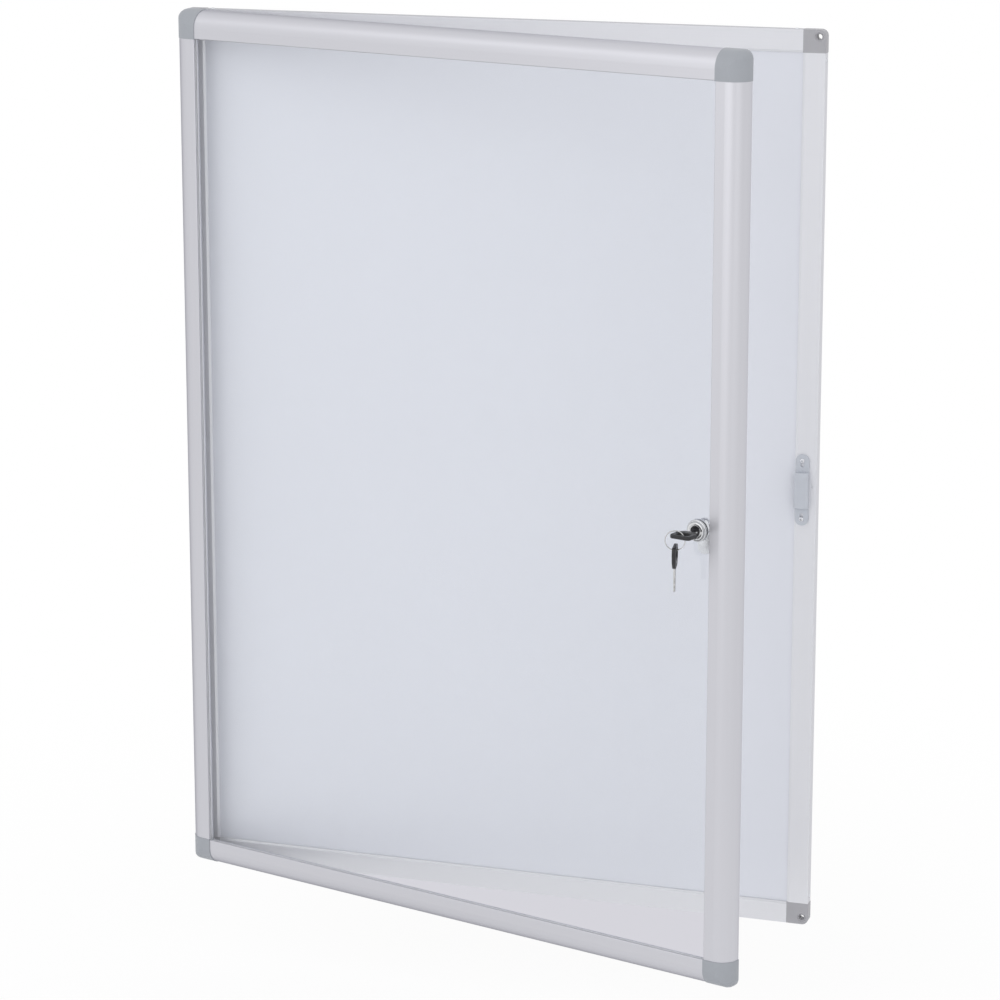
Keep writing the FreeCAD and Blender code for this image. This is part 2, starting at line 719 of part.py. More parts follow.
def make_base_cap(doc, size, index):
    """A moulded corner of the wall frame, with its wall screw hole and two plug arms."""
    cap = Piece(doc, "base_cap_" + CORNERS[index])
    face, proud, wall = size.base_face, size.base_cap_proud, size.rail_wall
    radius, front = size.base_cap_radius, size.base_depth
    shape = Outline(radius - proud, -proud).line(face, -proud).line(face, face)
    shape.line(-proud, face).line(-proud, radius - proud)
    shape.arc(radius - proud, -proud, radius)
    cap.pad(cap.sketch("XY", [shape]), front)

    def around_face(point, edge):
        """Picks the outer edges of the face, not the two that meet the rails."""
        near = min(point.x, point.y) < radius.value
        return near and point.z > front.value - CLOSE and max(point.x, point.y) < face.value - CLOSE

    cap.chamfer(size.base_cap_edge, around_face)
    groove = box_outline(size.base_web, size.base_web, face + PAST, face + PAST)
    cap.pocket(cap.sketch("XY", [groove], rise=wall), size.base_lip - wall, reverse=True)
    drill_wall_hole(cap, size)
    for plane, hinged in (("YZ", index == 0), ("XZ", index == 1)):
        rise = face if plane == "YZ" else -face
        sketch = cap.sketch(plane, [base_arm(size, hinged)], rise=rise)
        cap.pad(sketch, size.base_arm_length, reverse=plane == "XZ")
        if not hinged:
            drill_arm(cap, size, "XZ" if plane == "YZ" else "YZ")
    if index in (0, 1):
        shape_hinge_side_base(cap, size, "YZ" if index == 0 else "XZ")
    cap.put(cap_place(size, index, 0))


def drill_arm(cap, size, plane):
    """A screw hole across a plug arm, from its outer side."""
    reach = size.base_face + size.cap_screw_step
    sketch = cap.sketch(plane, circles=[(reach, size.base_depth / 2, size.screw_size / 2)])
    cap.pocket(sketch, size.rail_wall + size.cap_screw_length, reverse=plane == "YZ")


def shape_hinge_side_base(cap, size, plane):
    """Relief for the turning door, and the peg in the hinge socket that bears the door."""
    nose, flip = size.nose_radius, plane == "XZ"
    side = as_size(180)
    far_x, far_z = on_hinge(size, 2 * nose + PAST, size.nose_angle)
    shape = Outline(*on_hinge(size, nose, size.nose_angle)).line(far_x, far_z)
    shape.line(-PAST, far_z).line(-PAST, size.hinge_rise).line(*on_hinge(size, nose, side))
    shape.arc(*on_hinge(size, nose, size.nose_angle), nose)
    cap.pocket(cap.sketch(plane, [shape]), None, reverse=not flip)
    length = size.door_face + size.door_cap_proud - size.base_face - size.peg_gap
    peg = [(size.hinge_inset, size.hinge_rise, size.bead_radius - size.peg_play)]
    rise = -size.base_face if flip else size.base_face
    cap.pad(cap.sketch(plane, circles=peg, rise=rise), length, reverse=flip)


def make_door_cap(doc, size, index):
    """A moulded corner of the door: pillow shaped outside, open behind, with two plug arms."""
    cap = Piece(doc, "door_cap_" + CORNERS[index])
    proud = size.door_cap_proud
    face = size.door_face + proud
    height = size.door_depth + proud
    cap.pad(cap.sketch("XY", [box_outline(-proud, -proud, face, face)]), height)
    centre = size.door_depth - size.door_side
    skin = centre + proud
    for plane in ("YZ", "XZ"):
        cut = Outline(-proud, size.door_side).arc(centre, height, skin, left=False)
        cut.line(centre, height + PAST).line(-proud - PAST, height + PAST)
        cut.line(-proud - PAST, size.door_side)
        cap.pocket(cap.sketch(plane, [cut]), None, reverse=plane == "YZ")
    round_cap_corner(cap, size, skin, height)
    hollow_cap(cap, size, face)
    for plane in ("YZ", "XZ"):
        arm = door_chamber(size, size.arm_play)
        rise = face if plane == "YZ" else -face
        cap.pad(cap.sketch(plane, [arm], rise=rise), size.door_arm_length, reverse=plane == "XZ")
    if index in (0, 1):
        cut_hinge_cove(cap, size, "YZ" if index == 0 else "XZ")
    cap.put(door_swing(size) * cap_place(size, index, door_back(size).value))


def round_cap_corner(cap, size, skin, height):
    """Carries the skin's curve round the upright corner, in straight steps on that curve."""
    radius = size.door_cap_radius
    inward = skin - radius
    cut = Outline(-radius, -PAST).line(-radius, size.door_side)
    for step in range(1, CORNER_STEPS + 1):
        across = -radius * (1 - (step / CORNER_STEPS) ** 2)
        apart = inward - across
        cut.line(across, size.door_side + root(skin * skin - apart * apart))
    cut.line(0, height + PAST).line(-2 * radius, height + PAST).line(-2 * radius, -PAST)
    cap.round_corner(cut, radius - size.door_cap_proud)


def hollow_cap(cap, size, face):
    """Opens the back of a door cap and cuts the pane's corner out of it."""
    beyond = face + PAST
    outer = size.door_cap_radius - size.door_cap_proud
    core_depth = size.groove_back - size.rail_wall - size.cap_core_start
    steps = [(size.cap_skirt, as_size(0), size.cap_skirt_depth, outer - size.cap_skirt),
             (size.cap_core, size.cap_core_start, core_depth, size.cap_core_round)]
    for wall, start, depth, round_off in steps:
        shape = Outline(wall + round_off, wall).line(beyond, wall).line(beyond, beyond)
        shape.line(wall, beyond).line(wall, wall + round_off)
        shape.arc(wall + round_off, wall, round_off)
        cap.pocket(cap.sketch("XY", [shape], rise=start), depth, reverse=True)
    corner = box_outline(size.groove_floor, size.groove_floor, beyond, beyond)
    depth = size.groove_front - size.groove_back
    cap.pocket(cap.sketch("XY", [corner], rise=size.groove_back), depth, reverse=True)


def cut_hinge_cove(cap, size, plane):
    """The cove in a door cap that turns round the hinge socket."""
    axis = size.hinge_rise - door_back(size)
    cove, near = size.cove_radius, size.hinge_inset + size.cove_radius
    end_x = size.hinge_inset + cove * cosine(size.cove_angle)
    end_z = axis + cove * sine(size.cove_angle)
    far_x = size.hinge_inset + 2 * cove * cosine(size.cove_angle)
    far_z = axis + 2 * cove * sine(size.cove_angle)
    shape = Outline(near, -PAST).line(near, axis).arc(end_x, end_z, cove).line(far_x, far_z)
    shape.line(-2 * PAST, far_z).line(-2 * PAST, -PAST)
    cap.pocket(cap.sketch(plane, [shape]), None, reverse=plane == "YZ")


def make_panel(doc, size):
    """The steel sheet and the board behind it, both in the groove of the wall frame."""
    inset = size.base_web + size.panel_gap
    half_x = size.board_width / 2 - inset
    half_z = size.board_height / 2 - inset
    low = size.rail_wall
    for name, thick in (("backing_board", size.board_thick), ("magnetic_panel", size.sheet_thick)):
        piece = Piece(doc, name)
        piece.pad(piece.sketch("XY", [box_outline(-half_x, -half_z, half_x, half_z)]), thick)
        piece.put(front_place(0, low.value, 0))
        low = low + thick


def make_glazing(doc, size):
    """The pane with its lock hole, and the four seal strips around it."""
    edge = size.groove_floor + size.seal_floor
    half_x = size.board_width / 2 - edge
    half_z = size.board_height / 2 - edge
    pane = Piece(doc, "window_pane")
    lock_hole = [(size.board_width / 2 - size.lock_inset, 0, size.barrel_radius + size.lock_hole_play)]
    sketch = pane.sketch("XY", [box_outline(-half_x, -half_z, half_x, half_z)], lock_hole)
    pane.pad(sketch, size.pane_thick)
    back = door_back(size) + size.groove_back + size.seal_wall
    pane.put(door_swing(size) * front_place(0, back.value, 0))
    low, high, floor = size.groove_back, size.groove_front, size.groove_floor
    leg, front = size.groove_ledge - size.seal_back_gap, size.door_face + size.seal_show
    wall = size.seal_wall
    for index, side in enumerate(("left", "bottom", "right", "top")):
        strip = Piece(doc, "glazing_seal_" + side)
        shape = Outline(floor, low).line(leg, low).line(leg, low + wall)
        shape.line(floor + size.seal_floor, low + wall)
        shape.line(floor + size.seal_floor, high - wall)
        shape.line(front, high - wall).line(front, high).line(floor, high)
        start = floor if index % 2 == 0 else front
        span = size.board_height if index % 2 == 0 else size.board_width
        strip.pad(strip.sketch("XY", [shape]), span - 2 * start)
        strip.put(door_swing(size) * rail_place(size, index, door_back(size).value, start.value))


def lock_place(size, aside=0.0, rise=0.0, ahead=0.0):
    """Place of a piece on the lock's axis, x to the lock side, z out of the door."""
    across = size.board_width.value / 2 - size.lock_inset.value
    depth = door_back(size).value + ahead
    return door_swing(size) * front_place(across + aside, depth, rise)


def make_lock(doc, size):
    """The cam lock: front ring, housing, washer, nut, plug, wafers, cam and its screw."""
    for piece in (*make_lock_rings(doc, size), make_housing(doc, size), make_nut(doc, size),
                  make_plug(doc, size), make_wafers(doc, size), make_cam(doc, size),
                  make_cam_screw(doc, size)):
        piece.put(lock_place(size))


def make_lock_rings(doc, size):
    """The ring in front of the pane and the washer behind it."""
    bore, outer = size.barrel_radius + size.barrel_play, size.escutcheon_radius
    pane_back = size.groove_back + size.seal_wall
    pane_front = pane_back + size.pane_thick
    ring = Piece(doc, "lock_ring")
    ring.turn([box_outline(bore, pane_front, outer, pane_front + size.escutcheon_thick)])
    washer = Piece(doc, "lock_washer")
    washer.turn([box_outline(bore, pane_back - size.washer_thick, size.washer_radius, pane_back)])
    return ring, washer


def make_housing(doc, size):
    """The barrel with its flange, bored for the plug and its head."""
    housing = Piece(doc, "lock_housing")
    bore = size.plug_radius + size.fit_play
    head = size.plug_head_radius + size.fit_play
    seat = size.plug_front - size.plug_head_thick - size.seat_play
    flange, front, edge = size.flange_radius, size.flange_front, size.flange_edge
    pane_front = size.groove_back + size.seal_wall + size.pane_thick
    ring_front = pane_front + size.escutcheon_thick
    shape = Outline(bore, size.barrel_back).line(size.barrel_radius, size.barrel_back)
    shape.line(size.barrel_radius, ring_front).line(flange, ring_front)
    shape.line(flange, front - edge).line(flange - edge, front)
    shape.line(head, front).line(head, seat).line(bore, seat)
    housing.turn([shape])
    return housing


def make_nut(doc, size):
    """The hexagonal nut behind the washer."""
    nut = Piece(doc, "lock_nut")
    reach = size.nut_width / math.sqrt(3)
    corners = [math.pi / 3 * number for number in range(6)]
    shape = Outline(reach, 0)
    for turn in corners[1:]:
        shape.line(reach * math.cos(turn), reach * math.sin(turn))
    back = size.groove_back + size.seal_wall - size.washer_thick - size.nut_thick
    hole = [(0, 0, size.barrel_radius + size.barrel_play)]
    nut.pad(nut.sketch("XY", [shape], hole, rise=back), size.nut_thick)
    return nut


def wafer_slots(size):
    """Rear side of each wafer slot along the plug. Its middle faces a cut of the key."""
    half = size.wafer_thick / 2 + size.wafer_play
    first = size.plug_front - size.cut_first - half
    return [first - size.cut_pitch * number for number in range(WAFERS)]


def make_plug(doc, size):
    """The turning plug: head, keyway, wafer slots, square tail and the screw's hole."""
    plug = Piece(doc, "lock_plug")
    front, play = size.plug_front, size.wafer_play
    head_back = front - size.plug_head_thick
    shape = Outline(0, size.barrel_back).line(size.plug_radius, size.barrel_back)
    shape.line(size.plug_radius, head_back).line(size.plug_head_radius, head_back)
    shape.line(size.plug_head_radius, front).line(0, front)
    plug.turn([shape])
    half, tail_back = size.tail_side / 2, size.cam_back + size.seat_play
    sketch = plug.sketch("XY", [box_outline(-half, -half, half, half)], rise=tail_back)
    plug.pad(sketch, size.barrel_back - tail_back)
    wide = size.blade_width / 2 + size.keyway_side_play
    high = size.key_thick / 2 + size.keyway_play
    sketch = plug.sketch("XY", [box_outline(-wide, -high, wide, high)], rise=front)
    plug.pocket(sketch, size.blade_depth + size.keyway_side_play)
    wide, high = size.wafer_width / 2 + play, size.wafer_height / 2 + play
    for back in wafer_slots(size):
        sketch = plug.sketch("XY", [box_outline(-wide, -high, wide, high)], rise=back)
        plug.pocket(sketch, size.wafer_thick + 2 * play, reverse=True)
    sketch = plug.sketch("XY", circles=[(0, 0, size.cam_screw_size / 2)], rise=size.cam_back)
    plug.pocket(sketch, size.cam_hole_length, reverse=True)
    return plug


def plate_box(doc, name, across, up, thick, back):
    """A plate around the lock's axis, its sizes bound to the sheet."""
    box = doc.addObject("Part::Box", name)
    for side, length in (("Length", across), ("Width", up), ("Height", thick)):
        box.setExpression(side, length.text)
    corner = Vector(-across.value / 2, -up.value / 2, back.value)
    box.Placement = Placement(corner, Rotation())
    return box


def make_wafers(doc, size):
    """Five wafers, each a plate with a window round the key blade."""
    wafers = doc.addObject("Part::Compound", "lock_wafers")
    wafers.Label = "lock_wafers"
    thick, play = size.wafer_thick, size.wafer_window_play
    wide, high = size.blade_width + 2 * play, size.key_thick + 2 * play
    plates = []
    for back in wafer_slots(size):
        low = back + size.wafer_play
        cut = doc.addObject("Part::Cut", "wafer")
        cut.Base = plate_box(doc, "wafer_plate", size.wafer_width, size.wafer_height, thick, low)
        cut.Tool = plate_box(doc, "wafer_window", wide, high, 2 * thick, low - thick / 2)
        plates.append(cut)
    wafers.Links = plates
    doc.recompute()
    return Plain(wafers)


class Plain:
    """A piece that is not a body: it only needs its place."""

    def __init__(self, thing):
        self.body = thing

    def put(self, placement):
        """Moves the finished piece to its place."""
        self.body.Placement = placement


def make_cam(doc, size):
    """The cam: a tapered lever that hangs down when unlocked."""
    cam = Piece(doc, "lock_cam")
    head, tip, reach = size.cam_head_radius, size.cam_tip_radius, size.cam_reach
    tilt = (head - tip) / reach
    level = root(1 - tilt * tilt)
    shape = Outline(head * level, -(head * tilt))
    shape.arc(-(head * level), -(head * tilt), head, wide=True)
    shape.line(-(tip * level), -(reach + tip * tilt))
    shape.arc(tip * level, -(reach + tip * tilt), tip)
    half = size.tail_side / 2 + size.fit_play
    sketch = cam.sketch("XY", [shape, box_outline(-half, -half, half, half)], rise=size.cam_back)
    cam.pad(sketch, size.cam_thick)
    return cam


def make_cam_screw(doc, size):
    """The screw that holds the cam on the plug, from behind."""
    screw = Piece(doc, "cam_screw")
    head, shank, seat = size.cam_screw_head / 2, size.cam_screw_size / 2, size.cam_back
    back, tip = seat - size.cam_screw_thick, seat + size.cam_screw_length
    shape = Outline(0, back).line(head, back).line(head, seat).line(shank, seat)
    screw.turn([shape.line(shank, tip).line(0, tip)])
    return screw


def make_strike(doc, size):
    """The strike box with its slotted holes, and the screws that hold it on the lock stile."""
    strike = Piece(doc, "strike_box")
    half_x, half_z = size.strike_width / 2, size.keeper_height / 2
    plate, rise, wall = size.strike_plate, size.keeper_rise, size.rail_wall
    whole = slot_outline(as_size(0), as_size(0), size.strike_height, size.strike_width)
    strike.pad(strike.sketch("XY", [whole]), plate)
    strike.pad(strike.sketch("XY", [box_outline(-half_x, -half_z, half_x, half_z)]), rise)

    def outer_edge(point, edge):
        """Picks the front edges of the raised part and its two upright corners away from the cam."""
        upright = abs(edge.Length - rise.value + plate.value) < CLOSE and point.x > 0
        return upright or point.z > rise.value - CLOSE

    strike.chamfer(size.keeper_edge, outer_edge)
    cavity = box_outline(-half_x - PAST, wall - half_z, half_x - wall, half_z - wall)
    strike.pocket(strike.sketch("XY", [cavity]), rise - wall, reverse=True)
    mouth = box_outline(-half_x - PAST, -half_z - PAST, size.keeper_mouth - half_x, half_z + PAST)
    strike.pocket(strike.sketch("XY", [mouth], rise=plate), rise - wall - plate, reverse=True)
    high = size.strike_pitch / 2
    play = (size.slot_length - size.slot_width) / 2
    slots = [slot_outline(as_size(0), high - play, size.slot_length, size.slot_width),
             slot_outline(as_size(0), play - high, size.slot_length, size.slot_width)]
    strike.pocket(strike.sketch("XY", slots), None, reverse=True)
    across = size.board_width.value / 2 - size.strike_inset.value - half_x.value
    place = front_place(across, size.base_depth.value, 0)
    strike.put(place)
    screws = Piece(doc, "strike_screws")
    shank = size.base_depth - size.base_lip - size.strike_tip_gap
    circles = [(0, spot, size.screw_size / 2) for spot in (high, -high)]
    screws.pad(screws.sketch("XY", circles=circles, rise=-shank), shank + plate)
    circles = [(0, spot, size.strike_screw_head / 2) for spot in (high, -high)]
    screws.pad(screws.sketch("XY", circles=circles, rise=plate), size.strike_head_thick)
    screws.put(place)


def make_cap_screws(doc, size):
    """The six screws through the wall frame into the plug arms of its caps."""
    screws = []
    shank_radius, head_radius = size.screw_size / 2, size.cap_screw_head / 2
    back = Placement(Vector(0, 0, -size.cap_head_thick.value), Rotation())
    outward = Placement(Vector(0, 0, 0), Rotation(Vector(0, 1, 0), 90))
    for _, index, spots in cap_screw_spots(size):
        for spot in spots:
            start = size.base_face.value + spot.value
            place = rail_place(size, index, size.base_depth.value / 2, start).multiply(outward)
            screw = doc.addObject("Part::Fuse", "cap_screw")
            screw.Tool = doc.addObject("Part::Cylinder", "cap_screw_shank")
            screw.Tool.setExpression("Radius", shank_radius.text)
            screw.Tool.setExpression("Height", size.cap_screw_length.text)
            screw.Tool.Placement = place
            screw.Base = doc.addObject("Part::Cone", "cap_screw_head")
            screw.Base.setExpression("Radius1", (head_radius - size.cap_head_taper).text)
            screw.Base.setExpression("Radius2", head_radius.text)
            screw.Base.setExpression("Height", size.cap_head_thick.text)
            screw.Base.Placement = place.multiply(back)
            screws.append(screw)
    group = doc.addObject("Part::Compound", "base_cap_screws")
    group.Label = "base_cap_screws"
    group.Links = screws
    doc.recompute()


def blade_outline(size):
    """Both edges of a key blade: bare neck, shoulders, cuts and a blunt point."""
    neck, half, depth = size.key_neck_width / 2, size.blade_width / 2, size.blade_depth
    right = [(neck, size.neck_length + size.blade_tang), (neck, as_size(0)), (half, as_size(0))]
    for number in range(WAFERS):
        middle = -(size.cut_first + size.cut_pitch * number)
        bite = size.cut_shallow if number % 2 else size.cut_deep
        right += [(half, middle + size.cut_half), (half - bite, middle),
                  (half, middle - size.cut_half)]
    right += [(half, size.blade_tip_length - depth), (half - size.blade_tip_taper, -depth)]
    shape = Outline(*right[0])
    for point in right[1:]:
        shape.line(*point)
    for across, up in reversed(right):
        shape.line(-across, up)
    return shape


def bow_outline(size):
    """A key bow: narrow at the neck, with two rounded far corners."""
    low, high = size.neck_length, size.neck_length + size.bow_length
    half, neck, turn = size.bow_width / 2, size.bow_neck / 2, size.bow_round
    shoulder = low + size.bow_shoulder
    shape = Outline(-neck, low).line(neck, low).line(half, shoulder).line(half, high - turn)
    shape.arc(half - turn, high, turn).line(turn - half, high)
    return shape.arc(-half, high - turn, turn).line(-half, shoulder)


def eye_outline(size):
    """The slot in a key bow for the ring."""
    top = size.neck_length + size.bow_length - size.eye_rim
    radius = size.eye_height / 2
    reach, bottom = size.eye_width / 2 - radius, top - size.eye_height
    eye = Outline(-reach, bottom).line(reach, bottom).arc(reach, top, radius)
    return eye.line(-reach, top).arc(-reach, bottom, radius)


def make_key(doc, size, prefix):
    """A flat key: a cut metal blade and a moulded bow with the ring's eye."""
    blade = Piece(doc, prefix + "_blade")
    blade.pad(blade.sketch("XZ", [blade_outline(size)]), size.key_thick, middle=True)
    bow = Piece(doc, prefix + "_bow")
    bow.pad(bow.sketch("XZ", [bow_outline(size)]), size.bow_thick, middle=True)
    side = size.bow_thick.value / 2
    bow.chamfer(size.bow_edge, lambda point, edge: abs(abs(point.y) - side) < CLOSE)
    bow.pocket(bow.sketch("XZ", [eye_outline(size)]), 2 * size.bow_thick, middle=True)
    tang, low = size.key_neck_width / 2, size.neck_length
    slot = box_outline(-tang, low - PAST, tang, low + size.blade_tang)
    bow.pocket(bow.sketch("XZ", [slot]), size.key_thick, middle=True)
    return blade, bow


def make_ring(doc, size):
    """The split ring: a closed ring with a groove between the two turns of its wire."""
    ring = Piece(doc, "split_ring")
    inner, half, vee = size.ring_bore, size.ring_coil / 2, size.ring_vee
    outer = inner + size.ring_wire
    shape = Outline(inner, -half).line(outer, -half).line(outer - vee, 0).line(outer, half)
    ring.turn([shape.line(inner, half)])
    return ring


def make_keys(doc, size):
    """The key in the lock, the split ring in its bow and the spare key on the ring."""
    for piece in make_key(doc, size, "key"):
        piece.put(lock_place(size, ahead=size.plug_front.value))
    eye_top = size.neck_length + size.bow_length - size.eye_rim
    ahead = (size.plug_front + eye_top - size.eye_height / 2 + size.ring_ahead).value
    aside = -size.ring_aside.value
    twist = Rotation(Vector(0, 1, 0), size.ring_twist.value)
    ring_place = lock_place(size, aside, -size.ring_drop.value, ahead)
    make_ring(doc, size).put(ring_place.multiply(Placement(Vector(0, 0, 0), twist)))
    sink = size.ring_drop + size.ring_bore - size.spare_gap
    spare_place = lock_place(size, aside, -(sink + eye_top).value, ahead)
    hang = Rotation(Vector(1, 0, 0), -90).multiply(Rotation(Vector(0, 0, 1), 90))
    upright = Placement(Vector(0, 0, 0), twist.multiply(hang))
    for piece in make_key(doc, size, "spare_key"):
        piece.put(spare_place.multiply(upright))


def finished_pieces(doc):
    """Every sub-part of the document: the bodies and the two groups of loose solids."""
    groups = ("base_cap_screws", "lock_wafers")
    return [o for o in doc.Objects if o.TypeId == "PartDesign::Body" or o.Name in groups]


def check_and_write(doc):
    """Refuses failed features and bad shapes, then writes one file for each piece."""
    for thing in doc.Objects:
        if "Invalid" in thing.State or "Error" in thing.State:
            raise RuntimeError("%s failed: %s" % (thing.Name, thing.State))
    pieces = finished_pieces(doc)
    for piece in pieces:
        if piece.Shape.isNull() or not piece.Shape.isValid() or not piece.Shape.Solids:
            raise RuntimeError("%s has no valid solid" % piece.Label)
    for piece in pieces:
        piece.Shape.exportStep("parts/%s.step" % piece.Label)
    print("%d pieces written" % len(pieces))


def main():
    """Builds the notice board and writes its pieces."""
    os.makedirs("parts", exist_ok=True)
    doc = FreeCAD.newDocument("NoticeBoard")
    size = Sizes(doc)
    make_rails(doc, size)
    for index in range(len(CORNERS)):
        make_base_cap(doc, size, index)
        make_door_cap(doc, size, index)
    make_panel(doc, size)
    make_glazing(doc, size)
    make_lock(doc, size)
    make_strike(doc, size)
    make_cap_screws(doc, size)
    make_keys(doc, size)
    doc.recompute()
    check_and_write(doc)


main()
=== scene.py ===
"""Looks of a lockable wall notice board: finishes, small turned and cut pieces, light and camera."""
import json
import logging
import math
from dataclasses import dataclass
from enum import Enum
from typing import Any, Sequence, Union

import bmesh
import bpy
from mathutils import Matrix, Vector


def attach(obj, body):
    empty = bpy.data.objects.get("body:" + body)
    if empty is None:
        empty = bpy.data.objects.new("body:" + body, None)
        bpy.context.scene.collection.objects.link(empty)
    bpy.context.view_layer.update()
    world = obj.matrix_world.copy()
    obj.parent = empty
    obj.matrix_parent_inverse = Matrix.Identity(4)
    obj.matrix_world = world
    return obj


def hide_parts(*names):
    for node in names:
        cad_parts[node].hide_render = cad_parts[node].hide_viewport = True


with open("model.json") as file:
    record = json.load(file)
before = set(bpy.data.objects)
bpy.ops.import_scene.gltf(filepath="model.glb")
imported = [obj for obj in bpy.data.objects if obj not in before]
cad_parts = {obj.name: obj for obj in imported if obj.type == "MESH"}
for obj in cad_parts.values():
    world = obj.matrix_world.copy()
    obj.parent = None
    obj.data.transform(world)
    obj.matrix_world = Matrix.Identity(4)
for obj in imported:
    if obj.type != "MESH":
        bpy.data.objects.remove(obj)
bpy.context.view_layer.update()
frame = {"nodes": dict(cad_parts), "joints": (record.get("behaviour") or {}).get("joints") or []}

MM = 0.001
DOOR_OPEN = math.radians(16)
SHARP = math.radians(35)
UP = Vector((0, 0, 1)).freeze()
FRONT = Vector((0, -1, 0)).freeze()
CORNERS = ("top_left", "bottom_left", "bottom_right", "top_right")

# Where a Mix node has its two colours and its mixed colour, among sockets of the same name.
MIX_COLOURS = (6, 7)
MIX_RESULT = 2

log = logging.getLogger("notice_board")

Number = Union[int, float]
Pair = tuple[float, float]
Triple = tuple[float, float, float]
Colour = Union[Triple, bpy.types.NodeSocket]


# Shader maths


class Field:
    """A value that varies over a surface, written as a Python expression."""

    def __init__(self, painter: "Painter", socket: bpy.types.NodeSocket) -> None:
        """Wraps one output socket of a painter's node tree."""
        self.painter = painter
        self.socket = socket

    def math(self, operation: str, *others: Union["Field", Number], flip: bool = False) -> "Field":
        """Adds one Math node.

        Args:
            operation: the Math node's operation.
            others: the other values.
            flip: whether this field comes after the others.

        Returns:
            The result as a field.
        """
        values = [*others, self] if flip else [self, *others]
        node = self.painter.node("ShaderNodeMath", {"operation": operation}, values)
        return Field(self.painter, node.outputs[0])

    def __add__(self, other: Union["Field", Number]) -> "Field":
        """Adds."""
        return self.math("ADD", other)

    __radd__ = __add__

    def __mul__(self, other: Union["Field", Number]) -> "Field":
        """Multiplies."""
        return self.math("MULTIPLY", other)

    __rmul__ = __mul__

    def __sub__(self, other: Union["Field", Number]) -> "Field":
        """Subtracts."""
        return self.math("SUBTRACT", other)

    def __rsub__(self, other: Number) -> "Field":
        """Subtracts from a number."""
        return self.math("SUBTRACT", other, flip=True)

    def __pow__(self, other: Number) -> "Field":
        """Raises to a power."""
        return self.math("POWER", other)

    def ramp(self, low: float, high: float) -> "Field":
        """Goes smoothly from 0 to 1.

        Args:
            low: where it is still 0.
            high: where it reaches 1.

        Returns:
            The result as a field.
        """
        node = self.painter.node(
            "ShaderNodeMapRange",
            {"interpolation_type": "SMOOTHSTEP"},
            {"Value": self, "From Min": low, "From Max": high},
        )
        return Field(self.painter, node.outputs["Result"])

    def span(self, low: float, high: float) -> "Field":
        """Stretches 0 to 1 over a range."""
        return self * (high - low) + low


